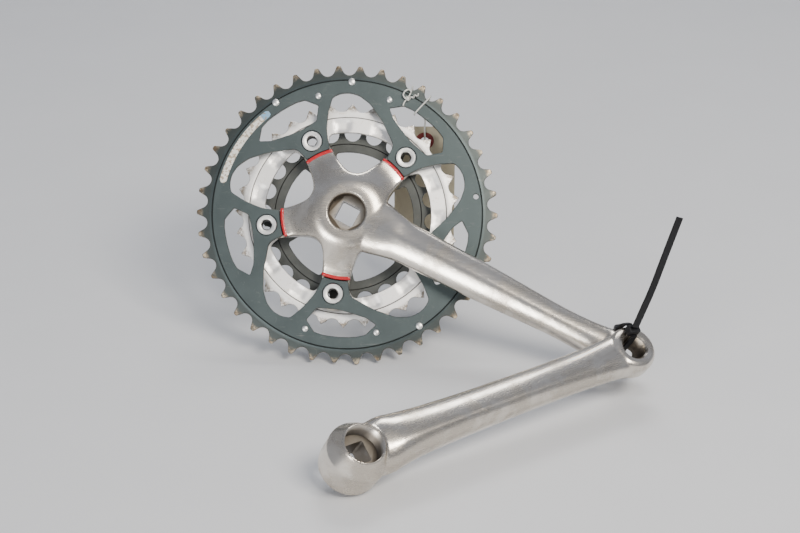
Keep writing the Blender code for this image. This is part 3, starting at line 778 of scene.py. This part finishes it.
def middle_ring(mat):
    teeth = tooth_outline(MIDDLE_TEETH, 8.9, tip_height=0.75, short_every=4, seat_r=4.55, tip_half=0.6)
    holes = [circle(BOLT_HOLE_R, seat) for seat in SEATS]
    edge = tabbed_edge(48.5, 40.6, 13.5, 2.6)
    radii = (50.0, 51.2, 52.4, 53.6, 54.8, 56.0, 57.1, 57.35, 57.65, 57.9, 59.0, 60.0)
    dividers = [circle(r, steps=256) for r in radii]

    def top(spot):
        radius = spot.length
        angle = math.degrees(math.atan2(spot.y, spot.x)) % 360
        height = MIDDLE_Z + MIDDLE_HALF
        pads = 0.5 + 0.5 * math.cos(math.radians(angle * 15 + 40))
        ramp = fade(radius, 49.0, 50.6) * (1 - fade(radius, 54.6, 56.6)) * fade(pads, 0.55, 0.85)
        if 57.3 < radius < 57.7:
            height -= 0.35
        if radius > 57.7:
            height -= 0.25
        return height - 0.55 * float(ramp) - 0.5 * float(fade(radius, 59.5, 66.5))

    back = ring_back(MIDDLE_Z - MIDDLE_HALF, 0.6, 59.5, 66.5)
    ring = relief_plate("middle_ring", [teeth, edge, *holes], dividers, top, back, 0.3, edge_wear(0.8))
    return place(weighted(ring), mat, CRANK, "bright_aluminium", "middle_chainring")


def inner_ring(mat):
    teeth = tooth_outline(
        INNER_TEETH, 4.4, tip_height=1.6, short_every=5, seat_r=4.75, tip_half=1.05, seat_deg=84
    )
    holes = [circle(POST_HOLE_R, post, 32) for post in POSTS]
    edge = tabbed_edge(38.2, 22.6, 15.5, 2.4)
    dividers = [circle(r, steps=180) for r in (42.7, 42.9, 43.1, 43.3)]

    def top(spot):
        groove = 0.25 if 42.8 < spot.length < 43.2 else 0.0
        return INNER_Z + INNER_HALF - groove - 0.3 * float(fade(spot.length, 44.5, 50.5))

    back = ring_back(INNER_Z - INNER_HALF, 0.3, 44.5, 50.5)
    ring = relief_plate("inner_ring", [teeth, edge, *holes], dividers, top, back, 0.22, edge_wear(0.9))
    return place(weighted(ring), mat, CRANK, "dark_steel", "inner_chainring")


# Fasteners


def socket_turned(rings, steps=72, centre=ORIGIN):
    """Closed ring-shaped solid from (radius, z) pairs; a third value of 6 makes that ring a hexagon."""
    sections = []
    for radius, z, *sides in rings:
        section = []
        for i in range(steps):
            angle = 360.0 * i / steps
            reach = radius
            if sides:
                wedge = 180.0 / sides[0]
                reach = radius / math.cos(math.radians(angle % (2 * wedge) - wedge))
            section.append(centre + polar(reach, angle, z))
        sections.append(section)
    return loft(sections, closed=True)


# Painted shade for a fastener: full near its axis, fading out just past the reach.
def hollow_below(centre, reach):
    def rule(spots):
        away = np.hypot(spots[:, 0] - centre.x, spots[:, 1] - centre.y)
        return 1.0 - fade(away, reach - 0.3, reach + 0.25)

    return rule


def fasteners(mat, piece, node, seats, rings, hollow_r, slot_z=None):
    """One fastener per spider arm; slot_z is the height below which a screwdriver slot is sunk."""
    for number, seat in enumerate(seats, 1):
        bm = socket_turned(rings, centre=seat)
        for spot in bm.verts if slot_z is not None else ():
            away = spot.co - seat
            if spot.co.z < slot_z and abs(away.x) < 0.55 and away.length > 4.0:
                spot.co.z += 0.5
        solid = make(f"{piece}_{number}", bm, 32)
        # Painted shade in the fastener's central hollow.
        paint_vertices(solid, hollow=hollow_below(seat, hollow_r))
        place(solid, mat, CRANK, "bright_steel", f"{node}_{number}")


def chainring_bolts(mat):
    low, head = MIDDLE_Z, OUTER_HALF - 1.1
    rings = [(2.9, low), (3.7, low), (3.7, head), (5.75, head), (5.8, head + 0.1), (5.8, 1.5), (5.68, 1.8)]
    rings += [(5.4, 1.98), (3.55, 2.0), (3.3, 1.92), (3.1, 1.6)]
    rings += [(2.65, 1.3, 6), (2.55, 1.0, 6), (2.55, -1.6, 6), (2.9, -1.9)]
    fasteners(mat, "ring_bolt", "chainring_bolt", SEATS, rings, 3.1)


def chainring_nuts(mat):
    top_z = MIDDLE_Z - MIDDLE_HALF - 0.3
    low_z = top_z - 1.6
    rings = [(4.0, low_z + 0.2), (4.2, low_z), (5.3, low_z), (5.7, low_z + 0.25), (5.8, low_z + 0.6)]
    rings += [(5.8, top_z - 0.1), (5.7, top_z), (4.75, top_z), (4.75, -0.1), (4.65, 0.0), (4.0, 0.0)]
    fasteners(mat, "ring_nut", "chainring_nut", SEATS, rings, 4.1, low_z + 0.5)


def inner_ring_bolts(mat):
    seat_z = INNER_Z - INNER_HALF - 0.3
    rings = [(3.9, -8.5), (2.2, -8.5), (2.2, seat_z - 0.5, 6), (2.45, seat_z - 2.3, 6), (2.9, seat_z - 2.6)]
    rings += [(4.4, seat_z - 2.6), (5.2, seat_z - 2.2), (5.7, seat_z - 1.3), (5.8, seat_z - 0.3)]
    rings += [(5.7, seat_z), (4.0, seat_z)]
    fasteners(mat, "granny_bolt", "inner_ring_bolt", POSTS, rings, 2.8)


def rivets(mat):
    base = OUTER_HALF + 0.05
    for number, (radius, angle) in enumerate(RIVETS, 1):
        head = 2.1 if number <= 3 else 1.8
        profile = [(1.0, -OUTER_HALF), (1.05, base), (head, base), (head, base + 0.25)]
        for k in range(1, 6):
            lift = math.radians(15 * k)
            profile.append((head * math.cos(lift), base + 0.25 + 0.75 * math.sin(lift)))
        pin = make(f"pin_{number}", turned(profile, 32, polar(radius, angle)), 50)
        place(pin, mat, CRANK, "bright_steel", f"ramp_rivet_{number}")


# Crank arms. A station is the distance along the arm, its half width, lower and upper height, and roof.

RIGHT_STATIONS = [
    (6, 15.5, -3.0, 11.6, 0.0),
    (18, 16.0, 0.5, 12.6, 0.6),
    (28, 13.8, 2.0, 14.0, 1.3),
    (38, 12.0, 2.7, 15.0, 1.8),
    (60, 11.5, 4.2, 17.8, 2.0),
    (85, 11.0, 6.8, 20.8, 2.0),
    (110, 9.9, 9.6, 23.5, 1.9),
    (135, 8.9, 12.2, 26.1, 1.6),
    (155, 9.5, 14.3, 28.2, 1.2),
    (166, 11.0, 15.8, 29.4, 0.6),
    (172, 11.4, 16.2, 29.8, 0.2),
]
LEFT_STATIONS = [
    (6, 13.5, -13.0, 9.0, 0.0),
    (16, 14.6, -10.5, 12.2, 0.8),
    (24, 13.6, -8.5, 13.6, 1.6),
    (36, 12.3, -6.6, 14.4, 2.2),
    (60, 11.2, -4.6, 15.2, 2.4),
    (85, 10.7, -2.6, 16.0, 2.4),
    (110, 10.4, -0.8, 16.9, 2.2),
    (135, 10.5, 1.2, 17.4, 1.9),
    (155, 11.2, 2.8, 17.9, 1.4),
    (166, 12.0, 3.8, 18.0, 0.7),
    (172, 12.0, 4.2, 17.9, 0.2),
]


def arm_loft(stations, ridge, crown):
    """Arm through smooth stations; its outer face is crowned and falls away on both sides of a ridge line."""
    fine = smooth_path([Vector(station) for station in stations], 5)
    sections = []
    for station, half, low, high, roof in (tuple(spot) for spot in fine):
        section = []
        for i in range(64):
            angle = 2 * math.pi * i / 64
            rising = math.sin(angle) > 0
            across = math.copysign(abs(math.cos(angle)) ** (crown if rising else 0.6), math.cos(angle))
            height = math.copysign(abs(math.sin(angle)) ** (crown if rising else 0.66), math.sin(angle))
            z = (low + high) / 2 + (high - low) / 2 * height
            if height > 0:
                z -= roof * abs(across - ridge) * height
            section.append(Vector((station, half * across, z)))
        sections.append(section)
    return loft(sections)


def star_height(radius):
    rise = min(max((STAR_TIP_R - radius) / 24.0, 0.0), 1.0)
    return 3.0 + (MOUTH_Z - 3.0) * rise * rise * (3 - 2 * rise)


def star_outline():
    points = []
    for bolt in BOLT_ANGLES:
        points += [polar(STAR_TIP_R, bolt + a) for a in (-12.6, -9, -6, -3, 0, 3, 6, 9)]
        valley = [(STAR_TIP_R, 12.6), (34.5, 14.2), (31, 16.8), (26.6, 21.8), (23.9, 28.5), (23.2, 36)]
        valley += [(23.9, 43.5), (26.6, 50.2), (31, 55.2), (34.5, 57.8), (STAR_TIP_R, 59.4)]
        points += smooth_path([polar(r, bolt + a) for r, a in valley], 3)[:-1]
    return points


def star_body():
    edge = star_outline()
    sections = [[Vector((p.x, p.y, TAB_BOTTOM)) for p in edge]]
    levels = [(1.0, 1.3), (0.975, 0.35)] + [(0.95 - 0.05 * k, 0.0) for k in range(20)]
    for inward, drop in levels:
        section = []
        for p in edge:
            radius = MOUTH_RIM_R + (p.length - MOUTH_RIM_R) * max(inward, 0.0)
            spot = p.normalized() * radius
            dish = 0.5 * math.sin(math.pi * min(max((radius - 20) / 18, 0), 1))
            section.append(Vector((spot.x, spot.y, star_height(radius) - drop - dish)))
        sections.append(section)
    return loft(sections)


def spider_tab(angle):
    outline = [Vector((15, -8.2, 0)), Vector((46, -8.2, 0))]
    outline += [Vector((BOLT_R - 0.3, 0, 0)) + polar(8.2, -78 + 13 * k) for k in range(13)]
    outline += [Vector((46, 8.2, 0)), Vector((15, 8.2, 0))]
    sections = [[Vector((p.x, p.y, z)) for p in outline] for z in (TAB_BOTTOM, TAB_TOP)]
    return spun(loft(sections), angle)


def threaded(radius, depth, z_low, z_high, pitch, centre=ORIGIN, mouth=0.8):
    """Cutter with thread grooves and a countersunk mouth at z_high."""
    profile = [(radius, z_low)]
    count = int((z_high - mouth - z_low - 0.6) / pitch)
    for k in range(count):
        z = z_low + 0.5 + pitch * k
        profile += [(radius - depth, z), (radius, z + pitch * 0.5)]
    profile += [(radius - depth, z_high - mouth - 0.2), (radius + mouth, z_high + 0.1)]
    profile += [(radius + mouth, z_high + 20)]
    return turned(profile, 72, centre)


def square_taper(z_low, z_high, angle):
    sections = []
    for z, side in ((z_low, 12.9), (z_high, 11.6)):
        half = side / 2
        corners = [Vector((x * half, y * half, z)) for x, y in ((-1, -1), (1, -1), (1, 1), (-1, 1))]
        sections.append(rounded(corners, 1.2, 3))
    return spun(loft(sections), angle)


def puller_cut(mouth):
    return threaded(PULLER_R, 0.5, PULLER_FLOOR, MOUTH_Z, 1.0, mouth=mouth)


def eye_solid(z_low, z_high, centre):
    profile = [(EYE_R - 2.4, z_low), (EYE_R - 0.9, z_low + 0.6), (EYE_R, z_low + 2.4)]
    shoulder = [(0.0, 3.6), (0.5, 2.1), (1.6, 0.8), (3.4, 0.0)]
    profile += [(EYE_R - inward, z_high - down) for inward, down in shoulder]
    return turned(profile, 64, centre)


def hollow_near(spots, centre, radius, high, wall=0.85, floor=-100.0, seat=0.0):
    """Painted shade in a bore: on its wall, thinning towards the mouth, and on the seat at its floor."""
    away = np.hypot(spots[:, 0] - centre.x, spots[:, 1] - centre.y)
    deep = (away < radius + 0.15) * (1.0 - fade(spots[:, 2], high - 7.0, high - 0.6))
    return deep * np.where((spots[:, 2] > floor - 0.4) & (away < radius - 0.6), seat, wall)


def right_arm(mat):
    arm = spun(arm_loft(RIGHT_STATIONS, 0.12, 0.72), ARM_DEG)
    eye = polar(ARM_LENGTH, ARM_DEG)
    hub = turned([(15.6, BOSS_INBOARD), (16.5, BOSS_INBOARD + 0.9), (16.5, 4.0)], 72)
    posts = [rod(6.4, -14.5, -4.0, post) for post in POSTS]
    tabs = [spider_tab(angle) for angle in BOLT_ANGLES]
    blank = merged(star_body(), arm, hub, eye_solid(RIGHT_EYE_IN, RIGHT_EYE_OUT, eye), *posts, *tabs)
    body = forged("right_arm", blank, 4)
    cuts = [puller_cut(0.5), square_taper(BOSS_INBOARD - 1, PULLER_FLOOR + 0.5, ARM_DEG)]
    cuts.append(threaded(EYE_HOLE_R, 0.35, RIGHT_EYE_IN - 4, RIGHT_EYE_OUT, 1.27, eye))
    cuts += [rod(BOLT_HOLE_R, -10, TAB_TOP + 1, seat) for seat in SEATS[:4]]
    cuts.append(rod(BOLT_HOLE_R, -10, 1.6, SEATS[4]))
    cuts += [rod(POST_HOLE_R, -20, -7, post, 32) for post in POSTS]
    cut(body, *cuts)

    # Painted shade in the puller mouth and the pedal eye bore; the floor of the mouth stays unshaded.
    def hollow(spots):
        mouth = hollow_near(spots, ORIGIN, PULLER_R, MOUTH_Z + 5.5, 1.0, PULLER_FLOOR)
        return np.maximum(mouth, hollow_near(spots, eye, EYE_HOLE_R, RIGHT_EYE_OUT))

    paint_vertices(body, hollow=hollow)
    return place(weighted(body), mat, CRANK, "satin_aluminium", "right_crank_arm")


def star_trims(mat):
    """Red bead across the end of each spider arm that shows."""
    for number, bolt in enumerate(BOLT_ANGLES[:4], 1):
        sections = []
        for k in range(25):
            angle = bolt - 12.5 + 25.0 * k / 24
            end = min(k, 24 - k)
            fall = 0.35 if end == 0 else 0.08 if end == 1 else 0.0
            section = []
            for i in range(14):
                turn = 2 * math.pi * i / 14
                radius = 37.45 + 1.15 * math.cos(turn) * (1 - fall * 0.4)
                rise = (0.95 - fall) * math.sin(turn) if math.sin(turn) > 0 else 1.6 * math.sin(turn)
                section.append(polar(radius, angle, 2.35 + rise))
            sections.append(section)
        place(make(f"star_trim_{number}", loft(sections), 50), mat, CRANK, "satin_aluminium")


def left_arm(mat):
    offset = Vector((-ARM_LENGTH, 0, -LEFT_EYE_OUT))
    eye = Vector((ARM_LENGTH, 0, 0))
    profile = [(15.2, LEFT_BOSS_IN), (16.2, LEFT_BOSS_IN + 0.9), (16.9, 1.2), (17.0, 1.8), (16.9, 2.2)]
    profile += [(11.5, 11.9), (11.2, MOUTH_Z)]
    arm = arm_loft(LEFT_STATIONS, -0.42, 0.82)
    blank = merged(turned(profile, 96), arm, eye_solid(LEFT_EYE_IN, LEFT_EYE_OUT, eye))
    body = forged("left_arm_forging", blank, 3)
    cuts = [puller_cut(0.1), square_taper(LEFT_BOSS_IN - 1, PULLER_FLOOR + 0.5, 0)]
    cuts.append(threaded(EYE_HOLE_R, 0.35, LEFT_EYE_IN - 4, LEFT_EYE_OUT, 1.27, eye))
    cut(body, *cuts)

    # Painted shade in the puller mouth, on its wall and more lightly on its floor, and in the pedal eye bore.
    def hollow(spots):
        mouth = hollow_near(spots, ORIGIN, PULLER_R, MOUTH_Z, 0.85, PULLER_FLOOR, 0.6)
        return np.maximum(mouth, hollow_near(spots, eye, EYE_HOLE_R, LEFT_EYE_OUT))

    paint_vertices(body, hollow=hollow)
    body.data.transform(Matrix.Translation(offset * MM))
    return place(weighted(body), mat, LEFT, "satin_aluminium", "left_crank_arm")


# Cable tie


def eye_frames():
    """Face centre, outward normal and up direction of the left and the right pedal eye, in millimetres."""
    up = Vector((-0.1, 0.43, 0.88))
    right_face = CRANK_FRAME.to_3x3() @ polar(ARM_LENGTH, ARM_DEG, RIGHT_EYE_OUT)
    left_face = Vector(JOINTS["left_arm_swing"]["pos_m"]) / MM
    frames = []
    for face, matrix in ((left_face, LEFT_FRAME), (right_face, CRANK_FRAME)):
        normal = matrix.to_3x3().col[2].copy()
        frames.append((face, normal, (up - normal * up.dot(normal)).normalized()))
    return frames


def strap(name, path, width_dir, width, thick):
    """Flat strap with rounded edges and a notch at every second section of its upper side."""
    sections = []
    for i, point in enumerate(path):
        along = tangent(path, i)
        flat = (width_dir - along * width_dir.dot(along)).normalized()
        up = along.cross(flat)
        notch = 0.22 if i % 2 else 0.0
        outline = [(-0.5, -0.2), (-0.46, -0.42), (-0.36, -0.5), (0.36, -0.5), (0.46, -0.42), (0.5, -0.2)]
        outline += [(0.5, 0.2), (0.46, 0.42), (0.36, 0.5), (0.26, 0.5), (0.24, 0.4 - notch)]
        outline += [(-0.24, 0.4 - notch), (-0.26, 0.5), (-0.36, 0.5), (-0.46, 0.42), (-0.5, 0.2)]
        sections.append([point + flat * (a * width) + up * (b * thick) for a, b in outline])
    return make(name, loft(sections), 40)


def box(size, axes, centre, bevel=0.0):
    bm = bmesh.new()
    bmesh.ops.create_cube(bm, size=1.0)
    bmesh.ops.scale(bm, verts=bm.verts, vec=size)
    if bevel:
        bmesh.ops.bevel(bm, geom=bm.edges[:], offset=bevel, segments=4, profile=0.6, affect="EDGES")
    bmesh.ops.rotate(bm, verts=bm.verts, matrix=axes)
    bmesh.ops.translate(bm, verts=bm.verts, vec=centre)
    return bm


def zip_tie(mat):
    (left, left_out, left_up), (right, right_out, right_up) = eye_frames()
    head = left + left_up * 8.2 + left_out * 3.6
    across = left_out.cross(left_up)
    out_through_left = [(5.0, 2.6), (4.7, 0.6), (4.4, -4.0), (4.2, -13.0)]
    around_right = [(3.8, 1.0), (4.2, -10.0), (6.4, -16.4), (13.0, -16.4), (16.2, -10.0), (16.2, 0.0)]
    back_over_left = [(15.8, -9.0), (14.8, -1.4), (12.2, 2.5)]
    route = [left + left_up * rise + left_out * out for rise, out in out_through_left]
    route += [right + right_up * rise + right_out * out for rise, out in around_right]
    route += [left + left_up * rise + left_out * out for rise, out in back_over_left]
    loop = strap("tie_loop", smooth_path(route, 10), across, 4.0, TIE_THICK)
    place(loop, mat, CRANK, "black_nylon", "zip_tie_loop", matrix=Matrix())
    start = head + left_out * 3.0
    steps = [(0, 0, 0), (4.2, 0.6, 11.6), (8.8, 3.0, 23.2), (15.0, 6.2, 42.0), (21.4, 9.0, 61.5)]
    path = smooth_path([start + Vector(step) for step in steps], 20)
    tail = strap("tie_tail", path, Vector((1, 0.2, -0.3)), 3.9, TIE_THICK)
    place(tail, mat, CRANK, "black_nylon", "zip_tie_tail", matrix=Matrix())
    axes = Matrix((across, left_up, left_out)).transposed()
    block = make("tie_head", box((7.0, 5.0, 4.6), axes, head, bevel=0.9), 50)
    cut(block, box((4.9, 1.7, 1.6), axes, head + left_out * 2.1))
    place(block, mat, CRANK, "black_nylon", "zip_tie_head", matrix=Matrix())


# Tag and wire


def tube(name, paths, radius, steps=12):
    parts = []
    for path in paths:
        sections = []
        side = Vector((0.3, 0.5, 0.81)).normalized()
        for i, point in enumerate(path):
            along = tangent(path, i)
            side = (side - along * side.dot(along)).normalized()
            up = along.cross(side)
            size = radius * (0.6 if i in (0, len(path) - 1) else 1.0)
            ring = [math.radians(360 * k / steps) for k in range(steps)]
            sections.append([point + (side * math.cos(a) + up * math.sin(a)) * size for a in ring])
        parts.append(loft(sections))
    return make(name, merged(*parts), 60)


def tag_wire(mat):
    front, back = OUTER_HALF + 0.9, -OUTER_HALF - 0.9
    to_local = CRANK_FRAME.to_3x3().transposed()
    hole = to_local @ (Vector(JOINTS["tag_swing"]["pos_m"]) / MM)
    ahead = to_local @ Vector((0, -1, 0))
    above = to_local @ Vector((0, 0, 1))
    route = [
        (32.1, 62.6, front + 0.8),
        (33.0, 65.0, front + 0.2),
        (34.9, 67.2, front + 0.1),
        (36.6, 70.4, front),
        (37.8, 74.6, 0.0),
        (37.8, 72.4, back),
        (41.0, 66.0, back - 5.0),
        hole + above * 12.5 - ahead * 2.2,
        hole + above * 4.0 - ahead * 2.4,
        hole,
        hole + above * 3.0 + ahead * 2.0,
        hole + above * 10.5 + ahead * 2.2,
        (46.4, 64.4, back - 2.0),
        (47.4, 67.4, back),
        (48.2, 68.9, 0.0),
        (47.0, 67.0, front),
        (43.0, 62.8, front),
        (39.6, 59.0, front),
        (38.6, 57.6, 0.4),
    ]
    ends = Vector((34.4, 66.3, front + 0.7)), Vector((41.4, 69.4, front + 0.2))
    twist = []
    for k in range(57):
        turn = 2 * math.pi * 3.0 * k / 56
        centre = ends[0].lerp(ends[1], k / 56)
        sideways = Vector((-0.35, 0.8, 0.0)) * 0.62 * math.cos(turn)
        twist.append(centre + sideways + Vector((0, 0, 0.5)) * math.sin(turn))
    curl = [(34.7, 66.5, 1.0), (33.1, 67.3, 0.9), (32.3, 69.2, 0.7), (33.2, 71.1, 0.5), (35.0, 72.2, 0.3)]
    curl += [(36.4, 71.7, 0.7), (36.9, 70.4, 1.0)]
    loop = smooth_path([Vector((x, y, front + z)) for x, y, z in curl], 8)
    wraps = []
    along = Vector((1.6, 3.1, 0.0)).normalized()
    for k in range(33):
        turn = 2 * math.pi * 1.75 * k / 32
        centre = Vector((34.3, 66.2, front + 0.35)) + along * (1.8 * k / 32)
        sideways = along.cross(Vector((0, 0, 1))) * math.cos(turn)
        wraps.append(centre + sideways + Vector((0, 0, 0.8)) * math.sin(turn))
    paths = [smooth_path([Vector(point) for point in route], 8), twist, loop, wraps]
    wire = tube("hanging_wire", paths, 0.5)
    return place(wire, mat, CRANK, "zinc_wire", "tag_wire")


def bend(x, z):
    """How far the card bows out of its plane, in millimetres."""
    return 0.22 * math.sin((z + 20) / 26.0) - 0.0006 * x * x + 0.1 * math.sin(x / 9 + z / 17)


def tag_card(mat):
    half, above, below, thick = 18.0, 9.0, 69.0, 0.5
    snip = 9
    corners = [(-half, -below), (half, -below), (half, above - snip)]
    corners += [(half - snip, above), (-half + snip, above), (-half, above - snip)]
    outline = rounded([Vector((x, z, 0)) for x, z in corners], 1.0, 4)
    hole = circle(2.6, steps=32)
    rows = []
    for k in range(1, 13):
        z = -below + (below + above) * k / 13
        reach = half - 1.0 - max(0.0, z - (above - snip))
        rows.append([Vector((-reach + 2 * reach * i / 8, z + 0.01 * (i % 2), 0)) for i in range(9)])
    dividers = []
    for row in rows:
        if all(p.length > 6.5 for p in row):
            dividers.append(row + [p + Vector((0, 0.4, 0)) for p in reversed(row)])

    def top(spot):
        return bend(spot.x, spot.y) + thick / 2

    def bottom(spot):
        return bend(spot.x, spot.y) - thick / 2

    card = relief_plate("shop_tag", [outline, hole], dividers, top, bottom, 0.06, edge_wear(0.0))
    return place(card, mat, TAG, "manila_card", "tag_card")


def tag_eyelet(mat):
    rings = [(2.4, 0.35), (2.5, 0.3), (5.3, 0.3), (5.4, 0.4), (5.4, 0.62), (5.2, 0.72)]
    rings += [(3.0, 0.8), (2.5, 0.75), (2.4, 0.65)]
    washer = make("fibre_washer", socket_turned(rings, 48), 40)
    return place(washer, mat, TAG, "red_fibre", "tag_eyelet")


# Studio


def floor_material():
    paint = Paint("pale_floor", 0.0, 0.7, local=False)
    cloud = paint.noise(60.0, 3.0)
    color = paint.mix(cloud, (0.72, 0.73, 0.75), (0.76, 0.77, 0.79))
    paint.bump((paint.noise(1.2, 3.0), 0.06, 0.1))
    return paint.finish(color)


def studio():
    """Round pale floor that curves up into a backdrop, a soft sky and three area lights."""
    low = cad_box[0].z
    bm = bmesh.new()
    rise = [(0.05, 0.0), (1.6, 0.0), (2.0, 0.03), (2.3, 0.12), (2.55, 0.35), (2.7, 0.7), (2.75, 1.8)]
    rings = [[bm.verts.new(polar(r, 3.75 * i, low + z)) for i in range(96)] for r, z in rise]
    bm.faces.new(rings[0])
    for one, two in zip(rings, rings[1:]):
        for i in range(96):
            bm.faces.new((one[i - 1], two[i - 1], two[i], one[i]))
    mesh = bpy.data.meshes.new("floor")
    bm.to_mesh(mesh)
    bm.free()
    mesh.shade_smooth()
    mesh.materials.append(floor_material())
    link("floor", mesh)
    world = bpy.data.worlds.new("studio")
    bpy.context.scene.world = world
    world.use_nodes = True
    sky = world.node_tree.nodes["Background"].inputs
    sky["Color"].default_value = (0.8, 0.86, 1.0, 1.0)
    sky["Strength"].default_value = 0.42
    target = Vector((0.04, -0.05, 0.0))
    lamps = [
        ("key", (0.6, -0.92, 1.0), 0.6, 19.0, (1.0, 0.94, 0.85)),
        ("fill", (-0.55, -1.3, 0.25), 0.5, 8.0, (1.0, 0.98, 0.95)),
        ("rim", (0.15, 0.65, 1.1), 0.6, 6.0, (1.0, 0.98, 0.95)),
    ]
    for name, spot, size, power, color in lamps:
        light = bpy.data.lights.new(name, "AREA")
        light.shape = "RECTANGLE"
        light.size = size
        light.size_y = size * 0.7
        light.energy = power
        light.color = color
        lamp = link(name, light)
        lamp.location = spot
        lamp.rotation_euler = (target - Vector(spot)).to_track_quat("-Z", "Y").to_euler()


def camera():
    data = bpy.data.cameras.new("camera")
    data.lens = 81.0
    data.sensor_width = 36.0
    data.clip_start = 0.05
    eye = link("camera", data)
    eye.location = (0.0304, -0.9481, 0.4286)
    eye.rotation_euler = (math.radians(90 - 26), 0, 0)
    bpy.context.scene.camera = eye


camera()
outer_ring(anodised("worn_anodised"))
printed_strip(strip_ink("faded_print"))
middle_ring(bright_ring("bright_ring_metal"))
inner_ring(dark_ring("blackened_ring"))
fastener = plated("plated_steel")
chainring_bolts(fastener)
chainring_nuts(fastener)
inner_ring_bolts(fastener)
rivets(plated("rivet_steel", (0.93, 0.93, 0.9)))
right_arm(satin_arm("drive_arm_metal", ARM_DEG))
star_trims(enamel("red_enamel"))
left_arm(satin_arm("loose_arm_metal", 0))
zip_tie(nylon("tie_nylon"))
tag_wire(galvanised("wire_zinc"))
tag_card(card_stock("tag_card_stock"))
tag_eyelet(fibre_ring("washer_fibre"))
studio()
